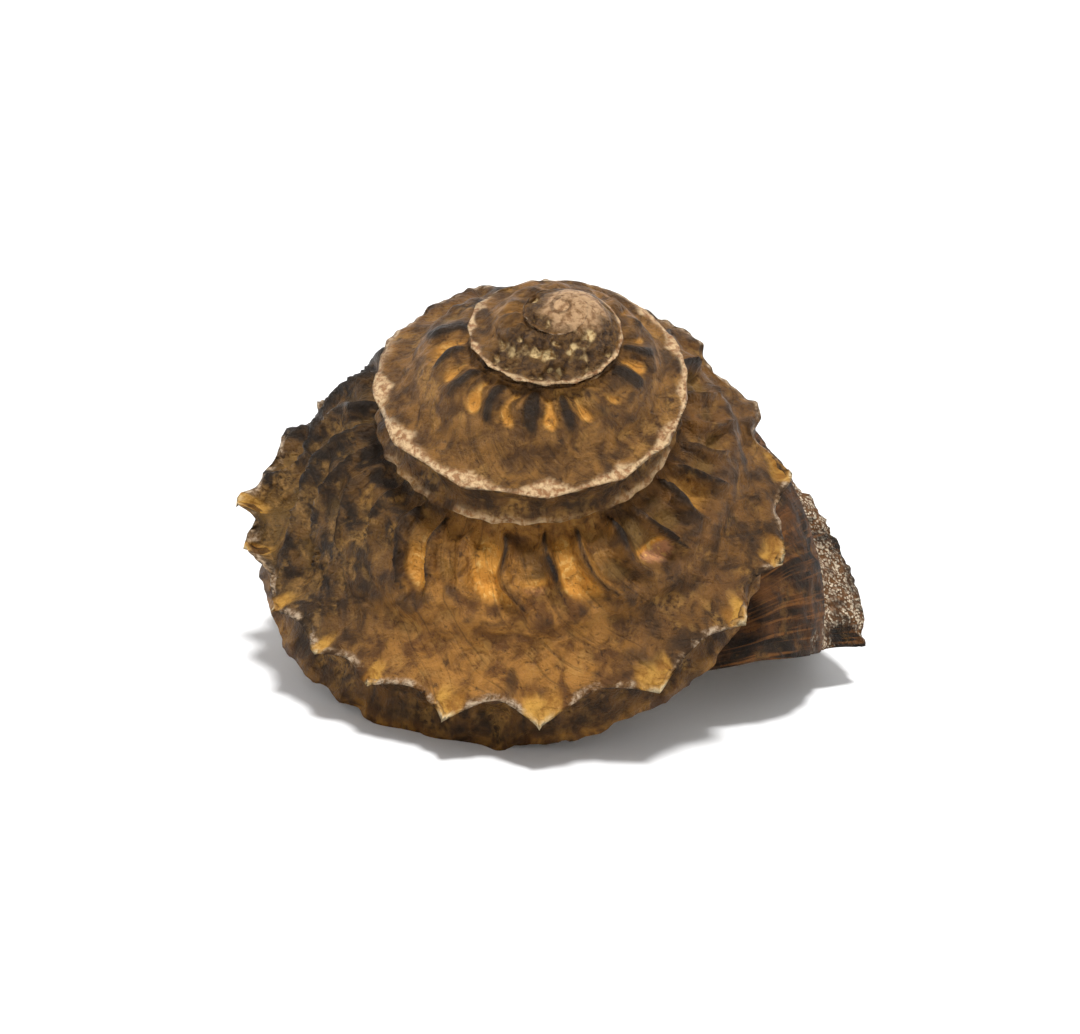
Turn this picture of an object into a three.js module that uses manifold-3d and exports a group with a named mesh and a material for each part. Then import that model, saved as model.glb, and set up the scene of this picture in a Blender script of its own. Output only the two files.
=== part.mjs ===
// A turban shell: one coiled shell with a spiny keel, folded shoulders and a round open mouth.
// Millimetres. The coil is worked out about its own axis and then laid down as the shell rests.
import * as THREE from 'three';
import { mergeVertices } from 'three/addons/utils/BufferGeometryUtils.js';
import Module from 'manifold-3d';

const TURN = 2 * Math.PI;

// The coil. Growth angle 0 is to the right (+X) of the axis, and the shell grows clockwise seen from
// its tip. The mouth is one full turn later.
const KEEL_RADIUS = 17.5; // mm, axis to keel at growth angle 0
const KEEL_GROWTH = 0.0926; // share per radian
const KEEL_EASING = -0.0018; // the growth slows down a little with age
const COIL_DROP = 14.3; // mm, scale of the way down the axis
const DROP_GROWTH = 0.141; // share per radian
const LAST_RISE = 3; // mm, by which the growth lifts again close to the mouth
const RISE_START = 0.8 * TURN;
const RISE_END = 1.08 * TURN;
const TIP_ANGLE = -3.4 * TURN; // where the coil starts

// The section of a whorl, in shares of the keel's radius at that place.
const SUTURE_IN = 0.91; // share of the keel radius one turn earlier
const SUTURE_DOWN = 0.87; // how far down the side of that whorl the suture lies, as a share of it
const OVERLAP_UP = 0.12; // how far the hidden inside reaches up into the whorl above
const CORE_CORNER = 0.5; // where the hidden inside turns up, as a share of the suture's radius
const LOWER_KEEL_OUT = 0.99;
const LOWER_KEEL_DOWN = 0.31;
const YOUNG_SIDE = 0.35; // the young whorls have a lower side, as a share of that
const YOUNG_SIDE_END = -1.7 * TURN;
const FULL_SIDE_START = -1.05 * TURN;
const SIDE_HOLLOW = 0.07;
const FOOT_OUT = 0.15;
const FOOT_DOWN = 0.31;
const BASE_BULGE = 0.09;
const BULGE_SKEW = 0.75; // below 1, the base bulges most near the lower keel
const AXIS_CORE = 0.04; // radius left around the axis
const COLUMELLA_RADIUS = 0.11; // the solid pillar that fills it
const COLUMELLA_DOWN = 0.28;
const COLUMELLA_TAPER_START = 0.6 * TURN;
const COLUMELLA_TAPER = 0.6; // share of its radius lost at the foot
const COLUMELLA_END = 0.86 * TURN;
const COLUMELLA_STEP = 0.1 * TURN;
const COLUMELLA_SIDES = 12;

// The relief of the upper side, in shares of its slant length.
const SHOULDER_RISE = 0.085;
const SHOULDER_PLACE = 0.3;
const SHOULDER_WIDTH = 0.26;
const SHOULDER_FULL = 0.15; // from here on the shoulder has its full rise
const CHANNEL_DEPTH = 0.085;
const CHANNEL_PLACE = 0.76;
const CHANNEL_WIDTH = 0.16;
const FOLDS_PER_TURN = 21;
const FOLD_RISE = 0.045;
const FOLD_START = [0.02, 0.14]; // between these a fold rises from the suture
const FOLD_FADE = [0.34, 0.55]; // between these it fades out
const GROWTH_LEAN = 0.32; // radians by which a growth line leads at the suture

// The keel's spines, from the oldest to the youngest: growth angle in degrees, and how far each
// draws the keel out, as a share of its radius. Past the last ones the keel is smooth.
const SPINES = [
  [-404, 0.03], [-378, 0.03], [-350, 0.03], [-325, 0.035], [-300, 0.03], [-272, 0.035],
  [-243, 0.035], [-213, 0.035], [-185, 0.03], [-160, 0.03], [-138, 0.02], [-118, 0.06],
  [-95, 0.09], [-77, 0.07], [-50, 0.03], [-22, 0.02], [-2, 0.095], [23, 0.09],
  [40, 0.085], [63, 0.095], [86, 0.105], [103, 0.095], [119, 0.055], [131, 0.05],
  [145, 0.055], [163, 0.06], [175, 0.085], [187, 0], [450, 0],
];
const TIP_SPACING = 22; // degrees, between the worn scallops near the tip
const TIP_REACH = 0.03;
const SPINE_DROOP = 0.25;
const SPINE_SHARPNESS = 1.7;
const SPINE_START = 0.72; // on the upper side, where a spine begins to show
const SPINE_EASING = 1.5;
const SPINE_UNDER = 0.28; // on the side, where it ends

// Bites: places where the keel is worn back. Growth angle and width in degrees, and depth as a
// share of the keel radius.
const BITES = [[-35, 9, 0.085], [-10, 5, 0.085], [205, 14, 0.055]];

// The beads of the lower keel.
const BEADS_PER_TURN = 34;
const BEAD_RISE = 0.02;
const BEAD_SIDE_START = 0.75;
const BEAD_BASE_END = 0.2;

// The lip is an oblique plane through a point under the last spine.
const LIP_POINT = new THREE.Vector3(30.2, -3, -16.9);
const LIP_NORMAL = new THREE.Vector3(0.11, -0.78, -0.62).normalize();
const LIP_EARLIEST = 0.75 * TURN; // the growth angles between which the lip lies
const LIP_LATEST = 1.14 * TURN;
const LIP_HALVINGS = 40; // steps of the search for it

// The mouth: a tube inside the last whorl, open at the lip.
const MOUTH_SCALE = 0.82; // share of the whorl's section at the lip
const MOUTH_DEEP_SCALE = 0.6;
const MOUTH_LENGTH = 0.55 * TURN;
const MOUTH_CENTRE_OUT = 0.62;
const MOUTH_CENTRE_DOWN = 0.06;
const MOUTH_PROUD = 4; // mm, how far the cutting body stands out of the lip

// The way the shell lies at rest, and how much of it the ground has worn flat.
const REST_TILT_X = 37.4; // degrees
const REST_TILT_Y = 0.9; // degrees
const WORN_FLAT = 0.3; // mm

// How finely the surface is cut into faces.
const ROW_STEP = 5.3; // degrees of growth between two rows, at most
const YOUNG_ROW_STEP = 10.6;
const YOUNG_ROWS_END = -325; // degrees: whorls younger than this have the longer step
const RAMP_STEPS = 9;
const SIDE_STEPS = 3;
const BASE_STEPS = 4;
const CORE_STEPS = 4;
const LIP_STEPS = 16;
const MOUTH_STEPS = 14;
const SEGMENT_TURNS = 0.7; // the coil is joined from stretches of this length
const LIP_SEGMENT_START = 0.72 * TURN;
const WELD_DISTANCE = 1e-6; // mm

function smoothStep(value, low, high) {
  return THREE.MathUtils.smoothstep(value, low, high);
}

function bump(value, centre, width) {
  return Math.exp(-(((value - centre) / width) ** 2));
}

function keelRadius(angle) {
  return KEEL_RADIUS * Math.exp(KEEL_GROWTH * angle + KEEL_EASING * angle ** 2);
}

function keelHeight(angle) {
  const lift = LAST_RISE * smoothStep(angle, RISE_START, RISE_END);
  return lift - COIL_DROP * (Math.exp(DROP_GROWTH * angle) - 1);
}

// Height of the side between the two keels, as a share of the keel radius.
function sideDepth(angle) {
  const grown = smoothStep(angle, YOUNG_SIDE_END, FULL_SIDE_START);
  return LOWER_KEEL_DOWN * (YOUNG_SIDE + (1 - YOUNG_SIDE) * grown);
}

// The suture is where a whorl's upper side leaves the whorl above it.
function suture(angle) {
  const above = keelRadius(angle - TURN);
  const under = SUTURE_DOWN * sideDepth(angle - TURN) * above;
  return { r: SUTURE_IN * above, z: keelHeight(angle - TURN) - under };
}

// All spines in order, with the even scallops of the tip before the listed ones.
function allSpines() {
  const spines = SPINES.map(([degrees, reach]) => [THREE.MathUtils.degToRad(degrees), reach]);
  const spacing = THREE.MathUtils.degToRad(TIP_SPACING);
  while (spines[0][0] > TIP_ANGLE) {
    spines.unshift([spines[0][0] - spacing, TIP_REACH]);
  }
  return spines;
}

const TIPS = allSpines();

// How far the spines draw the keel out at this angle, less what a bite takes away.
function spineReach(angle) {
  const found = TIPS.findIndex(([tip]) => tip > angle);
  const after = found < 1 ? TIPS.length - 1 : found;
  const [beforeTip, beforeReach] = TIPS[after - 1];
  const [afterTip, afterReach] = TIPS[after];
  const share = THREE.MathUtils.clamp((angle - beforeTip) / (afterTip - beforeTip), 0, 1);
  const fromBefore = beforeReach * Math.max(0, 1 - 2 * share) ** SPINE_SHARPNESS;
  const fromAfter = afterReach * Math.max(0, 2 * share - 1) ** SPINE_SHARPNESS;
  const degrees = THREE.MathUtils.radToDeg(angle);
  const bitten = BITES.reduce((sum, [at, width, depth]) => sum + depth * bump(degrees, at, width), 0);
  return fromBefore + fromAfter - bitten;
}

function beadReach(angle) {
  return BEAD_RISE * (0.5 + 0.5 * Math.cos(BEADS_PER_TURN * angle));
}

// The upper side, from the suture (0) to the keel (1), with its shoulder, folds and channel.
function rampPoint(angle, t, relief) {
  const start = suture(angle);
  const radius = keelRadius(angle);
  const out = radius - start.r;
  const down = keelHeight(angle) - start.z;
  const full = smoothStep(t, 0, SHOULDER_FULL);
  const shoulder = SHOULDER_RISE * bump(t, SHOULDER_PLACE, SHOULDER_WIDTH) * full;
  const channel = CHANNEL_DEPTH * bump(t, CHANNEL_PLACE, CHANNEL_WIDTH);
  const foldPlace = smoothStep(t, ...FOLD_START) * (1 - smoothStep(t, ...FOLD_FADE));
  const foldWave = 0.5 + 0.5 * Math.cos(FOLDS_PER_TURN * (angle - GROWTH_LEAN * (1 - t)));
  const rise = shoulder - channel + relief * FOLD_RISE * foldPlace * foldWave;
  const drawn = smoothStep(t, SPINE_START, 1) ** SPINE_EASING;
  const spine = relief * spineReach(angle) * radius * drawn;
  return {
    r: start.r + out * t - down * rise + spine,
    z: start.z + down * t + out * rise - SPINE_DROOP * spine,
  };
}

// The side, from the keel (0) down to the lower keel (1).
function sidePoint(angle, t, relief) {
  const radius = keelRadius(angle);
  const spine = relief * spineReach(angle) * radius * (1 - smoothStep(t, 0, SPINE_UNDER));
  const bead = relief * beadReach(angle) * radius * smoothStep(t, BEAD_SIDE_START, 1);
  const out = 1 + (LOWER_KEEL_OUT - 1) * t - SIDE_HOLLOW * Math.sin(Math.PI * t);
  return {
    r: radius * out + spine + bead,
    z: keelHeight(angle) - sideDepth(angle) * radius * t - SPINE_DROOP * spine,
  };
}

// The base, from the lower keel (0) in to the foot of the columella (1).
function basePoint(angle, t, relief) {
  const radius = keelRadius(angle);
  const bead = relief * beadReach(angle) * radius * (1 - smoothStep(t, 0, BEAD_BASE_END));
  const lowerKeel = sideDepth(angle);
  const down = lowerKeel + (FOOT_DOWN - lowerKeel) * t;
  return {
    r: radius * (LOWER_KEEL_OUT + (FOOT_OUT - LOWER_KEEL_OUT) * t) + bead,
    z: keelHeight(angle) - radius * (down + BASE_BULGE * Math.sin(Math.PI * t ** BULGE_SKEW)),
  };
}

// The inside of the section, from the foot up beside the axis and out to the suture.
function corePoint(angle, t) {
  const radius = keelRadius(angle);
  const top = suture(angle);
  const foot = keelHeight(angle) - radius * (FOOT_DOWN - BASE_BULGE);
  const corners = [
    { r: radius * FOOT_OUT, z: keelHeight(angle) - radius * FOOT_DOWN },
    { r: radius * AXIS_CORE, z: foot },
    { r: radius * AXIS_CORE, z: top.z + OVERLAP_UP * radius },
    { r: CORE_CORNER * top.r, z: top.z + OVERLAP_UP * radius },
    top,
  ];
  const place = t * CORE_STEPS;
  const index = Math.min(Math.floor(place), CORE_STEPS - 1);
  const share = place - index;
  const from = corners[index];
  const to = corners[index + 1];
  return { r: from.r + (to.r - from.r) * share, z: from.z + (to.z - from.z) * share };
}

// One closed section is a list of places: which side of the whorl, and how far along it.
const SECTION = [];
for (const [side, steps] of [
  [rampPoint, RAMP_STEPS],
  [sidePoint, SIDE_STEPS],
  [basePoint, BASE_STEPS],
  [corePoint, CORE_STEPS],
]) {
  for (let i = 0; i < steps; i += 1) {
    SECTION.push({ side, t: i / steps });
  }
}

function coilPoint(angle, place, relief = 1) {
  const { r, z } = place.side(angle, place.t, relief);
  return new THREE.Vector3(r * Math.cos(angle), -r * Math.sin(angle), z);
}

// The angle at which a growing line of the section meets the plane of the lip.
function lipAngle(place, relief) {
  let low = LIP_EARLIEST;
  let high = LIP_LATEST;
  for (let i = 0; i < LIP_HALVINGS; i += 1) {
    const middle = (low + high) / 2;
    const beyond = coilPoint(middle, place, relief).sub(LIP_POINT).dot(LIP_NORMAL);
    if (beyond < 0) {
      low = middle;
    } else {
      high = middle;
    }
  }
  return (low + high) / 2;
}

// Joins rings of points into one closed body, with a flat cap on its first and its last ring.
function closedTube(rings, firstNormal, lastNormal) {
  const count = rings[0].length;
  const position = rings.flat().flatMap((point) => point.toArray());
  const index = [];
  for (let ring = 0; ring + 1 < rings.length; ring += 1) {
    for (let i = 0; i < count; i += 1) {
      const a = ring * count + i;
      const b = ring * count + ((i + 1) % count);
      index.push(a, a + count, b, b, a + count, b + count);
    }
  }
  const lastStart = (rings.length - 1) * count;
  index.push(...cap(rings[0], firstNormal, 0));
  index.push(...cap(rings[rings.length - 1], lastNormal, lastStart));
  const geometry = new THREE.BufferGeometry();
  geometry.setAttribute('position', new THREE.Float32BufferAttribute(position, 3));
  geometry.setIndex(index);
  return geometry;
}

// Triangles over a flat ring, turned to face along the given normal.
function cap(ring, normal, start) {
  const across = new THREE.Vector3(0, 0, 1).cross(normal).normalize();
  const up = normal.clone().cross(across);
  const flat = ring.map((point) => new THREE.Vector2(point.dot(across), point.dot(up)));
  const triangles = THREE.ShapeUtils.triangulateShape(flat, []);
  return triangles.flatMap(([a, b, c]) => {
    const facing = flat[b].clone().sub(flat[a]).cross(flat[c].clone().sub(flat[a])) > 0;
    return facing ? [start + a, start + b, start + c] : [start + a, start + c, start + b];
  });
}

function alongGrowth(angle) {
  return new THREE.Vector3(-Math.sin(angle), -Math.cos(angle), 0);
}

const wasm = await Module();
wasm.setup();

function toSolid(geometry) {
  const merged = mergeVertices(geometry, WELD_DISTANCE);
  const vertProperties = new Float32Array(merged.attributes.position.array);
  const triVerts = new Uint32Array(merged.index.array);
  return new wasm.Manifold(new wasm.Mesh({ numProp: 3, vertProperties, triVerts }));
}

function toGeometry(solid) {
  const mesh = solid.getMesh();
  const geometry = new THREE.BufferGeometry();
  geometry.setAttribute('position', new THREE.BufferAttribute(mesh.vertProperties, 3));
  geometry.setIndex(new THREE.BufferAttribute(mesh.triVerts, 1));
  return geometry;
}

// The growth angles of the rows: one at each spine's tip, and even steps between two tips.
function rowAngles() {
  const rows = [];
  for (let i = 0; i + 1 < TIPS.length; i += 1) {
    const from = TIPS[i][0];
    const gap = THREE.MathUtils.radToDeg(TIPS[i + 1][0] - from);
    const young = THREE.MathUtils.radToDeg(from) < YOUNG_ROWS_END;
    const count = Math.ceil(gap / (young ? YOUNG_ROW_STEP : ROW_STEP));
    for (let k = 0; k < count; k += 1) {
      rows.push(from + (THREE.MathUtils.degToRad(gap) * k) / count);
    }
  }
  return rows.filter((angle) => angle >= TIP_ANGLE);
}

// A stretch of the coil over some rows, cut square at both ends.
function coilSegment(rows) {
  const rings = rows.map((angle) => SECTION.map((place) => coilPoint(angle, place)));
  const first = alongGrowth(rows[0]).negate();
  return toSolid(closedTube(rings, first, alongGrowth(rows[rows.length - 1])));
}

// The last stretch: its rings lean over step by step until they lie in the plane of the lip.
function lipSegment(from) {
  const ends = SECTION.map((place) => lipAngle(place, 1));
  const rings = [];
  for (let i = 0; i <= LIP_STEPS; i += 1) {
    const share = i / LIP_STEPS;
    rings.push(SECTION.map((place, k) => coilPoint(from + (ends[k] - from) * share, place)));
  }
  return toSolid(closedTube(rings, alongGrowth(from).negate(), LIP_NORMAL));
}

// The columella is the pillar that the whorls wind around. It widens as they do.
function columella() {
  const profile = [];
  for (let angle = TIP_ANGLE; angle <= COLUMELLA_END; angle += COLUMELLA_STEP) {
    const radius = keelRadius(angle);
    const height = keelHeight(angle) - COLUMELLA_DOWN * radius;
    const taper = 1 - COLUMELLA_TAPER * smoothStep(angle, COLUMELLA_TAPER_START, COLUMELLA_END);
    profile.unshift(new THREE.Vector2(COLUMELLA_RADIUS * radius * taper, height));
  }
  const lowest = profile[0];
  const highest = profile[profile.length - 1];
  profile.unshift(new THREE.Vector2(0, lowest.y));
  profile.push(new THREE.Vector2(0, highest.y));
  const geometry = new THREE.LatheGeometry(profile, COLUMELLA_SIDES);
  geometry.rotateX(Math.PI / 2);
  geometry.deleteAttribute('normal');
  geometry.deleteAttribute('uv');
  return toSolid(geometry);
}

// The hollow of the mouth follows the last whorl with a smaller, smooth section.
function mouthRing(angleOf, scale) {
  return SECTION.map((place, k) => {
    const angle = angleOf(place, k);
    const radius = keelRadius(angle);
    const centreOut = MOUTH_CENTRE_OUT * radius;
    const centreHeight = keelHeight(angle) - MOUTH_CENTRE_DOWN * radius;
    const { r, z } = place.side(angle, place.t, 0);
    const out = centreOut + (r - centreOut) * scale;
    const height = centreHeight + (z - centreHeight) * scale;
    return new THREE.Vector3(out * Math.cos(angle), -out * Math.sin(angle), height);
  });
}

function mouthHollow() {
  const lipEnds = SECTION.map((place) => lipAngle(place, 0));
  const deepEnd = TURN - MOUTH_LENGTH;
  const rings = [];
  for (let i = 0; i <= MOUTH_STEPS; i += 1) {
    const share = i / MOUTH_STEPS;
    const scale = THREE.MathUtils.lerp(MOUTH_DEEP_SCALE, MOUTH_SCALE, Math.sqrt(share));
    rings.push(mouthRing((place, k) => deepEnd + (lipEnds[k] - deepEnd) * share, scale));
  }
  const last = rings[rings.length - 1];
  rings.push(last.map((point) => point.clone().addScaledVector(LIP_NORMAL, MOUTH_PROUD)));
  return toSolid(closedTube(rings, alongGrowth(deepEnd).negate(), LIP_NORMAL));
}

// The whole coil: overlapping stretches joined into one body, with the mouth cut out of it.
function shellSolid() {
  const rows = rowAngles();
  let to = rows.findLastIndex((angle) => angle <= LIP_SEGMENT_START);
  let solid = lipSegment(rows[to]).add(columella());
  while (to > 0) {
    const limit = rows[to] - SEGMENT_TURNS * TURN;
    const from = Math.max(rows.findIndex((angle) => angle >= limit), 0);
    solid = solid.add(coilSegment(rows.slice(from, to + 2)));
    to = from;
  }
  return solid.subtract(mouthHollow());
}

// Fills the specks of air shut in between two whorls: of the skins whose faces join along edges,
// only the largest is kept.
function filled(geometry) {
  const position = geometry.attributes.position;
  const corners = geometry.index.array;
  const leader = Array.from({ length: corners.length / 3 }, (_, face) => face);
  const leaderOf = (face) => {
    let place = face;
    while (leader[place] !== place) {
      place = leader[place];
    }
    leader[face] = place;
    return place;
  };
  const faceAtEdge = new Map();
  for (let i = 0; i < corners.length; i += 1) {
    const face = Math.floor(i / 3);
    const next = i % 3 === 2 ? i - 2 : i + 1;
    const low = Math.min(corners[i], corners[next]);
    const high = Math.max(corners[i], corners[next]);
    const edge = low * position.count + high;
    if (faceAtEdge.has(edge)) {
      leader[leaderOf(face)] = leaderOf(faceAtEdge.get(edge));
    }
    faceAtEdge.set(edge, face);
  }
  const skins = new Map();
  for (let face = 0; face < leader.length; face += 1) {
    const skin = leaderOf(face);
    if (!skins.has(skin)) {
      skins.set(skin, []);
    }
    skins.get(skin).push(...corners.subarray(3 * face, 3 * face + 3));
  }
  const largest = [...skins.values()].reduce((a, b) => (b.length > a.length ? b : a));
  const skin = new THREE.BufferGeometry();
  skin.setAttribute('position', position);
  skin.setIndex(largest);
  return skin;
}

// Lays the shell down as it rests and wears a small flat where it touches the ground.
function laidDown(solid) {
  const geometry = filled(toGeometry(solid));
  geometry.rotateX(THREE.MathUtils.degToRad(REST_TILT_X));
  geometry.rotateY(THREE.MathUtils.degToRad(REST_TILT_Y));
  geometry.computeBoundingBox();
  const box = geometry.boundingBox;
  const middle = box.getCenter(new THREE.Vector3());
  geometry.translate(-middle.x, -middle.y, -box.min.z - WORN_FLAT);
  const size = box.getSize(new THREE.Vector3());
  const ground = new THREE.BoxGeometry(2 * size.x, 2 * size.y, size.z);
  ground.deleteAttribute('normal');
  ground.deleteAttribute('uv');
  ground.translate(0, 0, -size.z / 2);
  return toGeometry(toSolid(geometry).subtract(toSolid(ground)));
}

const shellMaterial = new THREE.MeshStandardMaterial({ color: 0x6b4c2c, roughness: 0.55, metalness: 0 });
const shell = new THREE.Mesh(laidDown(shellSolid()), shellMaterial);
shell.name = 'shell';

const group = new THREE.Group();
group.add(shell);

export default group;
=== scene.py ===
# %% [markdown]
# # A turban shell
# The object is one shell: a coil that widens as it winds down, with a spiny keel round its edge,
# folds on its shoulders, a second smaller keel below and a round mouth underneath. It grew by
# adding to its lip, so nearly every mark on it follows one of two directions: along the growth,
# round the coil, or across it, from seam to keel. The whole lesson is built on these two
# directions: a place on the shell is a growth angle and a place in the section.

# %% The frame and the tools
import math

import bmesh
import bpy
import numpy as np
from mathutils import Matrix, Vector


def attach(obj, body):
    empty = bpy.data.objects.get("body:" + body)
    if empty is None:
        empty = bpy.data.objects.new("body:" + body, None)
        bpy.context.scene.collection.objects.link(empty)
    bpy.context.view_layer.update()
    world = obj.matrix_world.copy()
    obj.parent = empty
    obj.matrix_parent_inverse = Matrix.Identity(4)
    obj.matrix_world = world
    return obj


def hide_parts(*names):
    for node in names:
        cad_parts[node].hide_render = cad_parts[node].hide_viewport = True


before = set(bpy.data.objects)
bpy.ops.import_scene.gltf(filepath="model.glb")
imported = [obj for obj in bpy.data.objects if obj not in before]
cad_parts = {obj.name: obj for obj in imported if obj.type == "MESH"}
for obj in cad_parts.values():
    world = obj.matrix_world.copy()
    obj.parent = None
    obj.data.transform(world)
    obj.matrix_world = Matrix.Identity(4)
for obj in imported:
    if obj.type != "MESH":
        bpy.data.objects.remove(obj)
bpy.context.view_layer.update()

# %% [markdown]
# ## Where the coil lies
# The shell rests mouth down, on its lip and on the edge of its last whorl. It could be worked out
# as it lies, but the laws of growth are simple only about the coil's own upright axis, so the
# finished points are turned and moved. The turn is first about X and then about Y, and the move
# brings the shell to the place that the solid model has.

# %% From the coil's own axes to the floor
TURN = 2 * math.pi
MM = 0.001
LEAN_X = math.radians(37.4)
LEAN_Y = math.radians(0.9)
COIL_PLACE = np.array([-2.09896, -9.59776, 20.21769])  # mm
REST = Matrix.Rotation(LEAN_Y, 3, "Y") @ Matrix.Rotation(LEAN_X, 3, "X")
REST_ROWS = np.array(REST)


def laid_down(points):
    """Coil points in mm, turned as the shell rests, moved to its place and given in metres."""
    return (points @ REST_ROWS.T + COIL_PLACE) * MM


print("coil's origin at rest, metres:", np.round(laid_down(np.zeros(3)), 4))

# %% [markdown]
# ## The camera
# The photograph looks down on the spire from some 90 mm away, with the mouth underneath and out
# of view. A camera could be aimed by its angles. Here its right, up and backward directions are
# given in the coil's own axes, so the view stays right when the shell is laid down.

# %% The camera
VIEW_HEIGHT = 0.8794  # radians above the plane of the whorls
VIEW_ROLL = 0.1126  # radians
VIEW_DISTANCE = 90.0  # mm
SENSOR = 36.0
LENS = 40.0
NEAREST, FURTHEST = 0.005, 20  # metres that the camera sees
LOOK_RIGHT = -0.5955  # mm, from the coil's origin
LOOK_UP = -5.427  # mm

coil_right = Vector((1, 0, 0))
coil_up = Vector((0, math.sin(VIEW_HEIGHT), math.cos(VIEW_HEIGHT)))
coil_back = Vector((0, -math.cos(VIEW_HEIGHT), math.sin(VIEW_HEIGHT)))
view_right = coil_right * math.cos(VIEW_ROLL) + coil_up * math.sin(VIEW_ROLL)
view_up = coil_up * math.cos(VIEW_ROLL) - coil_right * math.sin(VIEW_ROLL)
eye = coil_back * VIEW_DISTANCE + view_right * LOOK_RIGHT + view_up * LOOK_UP

camera_data = bpy.data.cameras.new("camera")
camera_data.sensor_width = SENSOR
camera_data.lens = LENS
camera_data.clip_start = NEAREST
camera_data.clip_end = FURTHEST
camera = bpy.data.objects.new("camera", camera_data)
bpy.context.scene.collection.objects.link(camera)
turned = Matrix((REST @ view_right, REST @ view_up, REST @ coil_back)).transposed().to_4x4()
turned.translation = Vector(laid_down(np.array([eye]))[0])
camera.matrix_world = turned
bpy.context.scene.camera = camera
print("camera height above the floor, mm:", round(turned.translation.z * 1000, 1))

# %% [markdown]
# ## The coil
# A shell keeps its shape while it grows. One whorl could be drawn and copied larger and larger,
# but then the copies have to be joined, so keel radius and height are smooth laws of the growth
# angle instead. The growth slows down a little with age, and close to the mouth the whorl lifts
# again. The seam, or suture, is where a whorl leaves the one above it, just under that whorl's
# lower keel.

# %% The laws of the coil
KEEL_RADIUS = 17.5  # mm
KEEL_GROWTH = 0.0926
KEEL_EASING = -0.0018
COIL_DROP = 14.3  # mm
DROP_GROWTH = 0.141
LAST_RISE = 3.0  # mm
RISE_START = 0.8 * TURN
RISE_END = 1.08 * TURN


def ramp(value, low, high):
    """0 below low, 1 above high, and between them a curve that starts and ends level."""
    share = np.clip((np.asarray(value, float) - low) / (high - low), 0, 1)
    return share * share * (3 - 2 * share)


def bell(value, centre, width):
    """1 at the centre, falling off on both sides as a bell curve."""
    return np.exp(-(((value - centre) / width) ** 2))


def keel_radius(angle):
    """Radius of the keel in mm: it grows as e to the angle, with a small easing."""
    return KEEL_RADIUS * np.exp(KEEL_GROWTH * angle + KEEL_EASING * angle**2)


def keel_height(angle):
    """Height of the keel in mm: it drops faster and faster, and lifts at the mouth."""
    lift = LAST_RISE * ramp(angle, RISE_START, RISE_END)
    return lift - COIL_DROP * (np.exp(DROP_GROWTH * angle) - 1)


print("keel radius at a half turn, mm:", round(float(keel_radius(math.pi)), 2))

# %% [markdown]
# ## The section
# A whorl's section has three sides. The ramp goes from the suture out to the keel, the side goes
# from the keel down to the lower keel, and the base goes in to the foot of the pillar. They are
# numbered by one running number: 0 to 1 on the ramp, 1 to 2 on the side, 2 to 3 on the base.

# %% The three sides of the section
LOWER_KEEL_OUT = 0.99
LOWER_KEEL_DOWN = 0.31
YOUNG_SIDE = 0.35
YOUNG_SIDE_END, FULL_SIDE_START = -1.7 * TURN, -1.05 * TURN
SIDE_HOLLOW = 0.07
FOOT_OUT = 0.15
FOOT_DOWN = 0.31
BASE_BULGE = 0.09
SEAM_PLACE = 0.045  # on the base, where the next whorl covers it
SHOULDER_RISE, SHOULDER_AT, SHOULDER_WIDTH = 0.09, 0.3, 0.26
CHANNEL_DEPTH, CHANNEL_AT, CHANNEL_WIDTH = 0.075, 0.76, 0.16


def side_depth(angle):
    """Height of the side as a share of the keel radius: low on the young whorls, then full."""
    grown = ramp(angle, YOUNG_SIDE_END, FULL_SIDE_START)
    return LOWER_KEEL_DOWN * (YOUNG_SIDE + (1 - YOUNG_SIDE) * grown)


def base_line(angle, share):
    """The base, bulging as a sine, from the lower keel in to the pillar."""
    radius = keel_radius(angle)
    out = LOWER_KEEL_OUT + (FOOT_OUT - LOWER_KEEL_OUT) * share
    down = side_depth(angle) * (1 - share) + FOOT_DOWN * share
    bulge = BASE_BULGE * np.sin(np.pi * share**0.75)
    return radius * out, keel_height(angle) - radius * (down + bulge)


def side_line(angle, share):
    """The side, hollowed as a sine between the two keels."""
    radius = keel_radius(angle)
    out = 1 + (LOWER_KEEL_OUT - 1) * share - SIDE_HOLLOW * np.sin(np.pi * share)
    return radius * out, keel_height(angle) - side_depth(angle) * radius * share


def ramp_line(angle, share):
    """The ramp: a straight slant with a round shoulder and, before the keel, a shallow channel."""
    start_r, start_z = base_line(angle - TURN, SEAM_PLACE)
    out = keel_radius(angle) - start_r
    down = keel_height(angle) - start_z
    shoulder = SHOULDER_RISE * bell(share, SHOULDER_AT, SHOULDER_WIDTH) * ramp(share, 0, 0.15)
    channel = CHANNEL_DEPTH * bell(share, CHANNEL_AT, CHANNEL_WIDTH) * ramp(share, 0, 0.3)
    rise = shoulder - channel
    return start_r + out * share - down * rise, start_z + down * share + out * rise


print("height of the side at angle 0, mm:", round(float(side_depth(0.0) * keel_radius(0.0)), 2))

# %% [markdown]
# ## The spines
# Each time the animal paused it drew the keel out into a spine. One spine could be modelled and
# copied round, but they are part of the keel and aren't evenly spaced, so those of the larger
# whorls are listed by their growth angle, each with its length. On the young whorls they are
# worn down to small scallops, and on the last stretch there are none.

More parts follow.
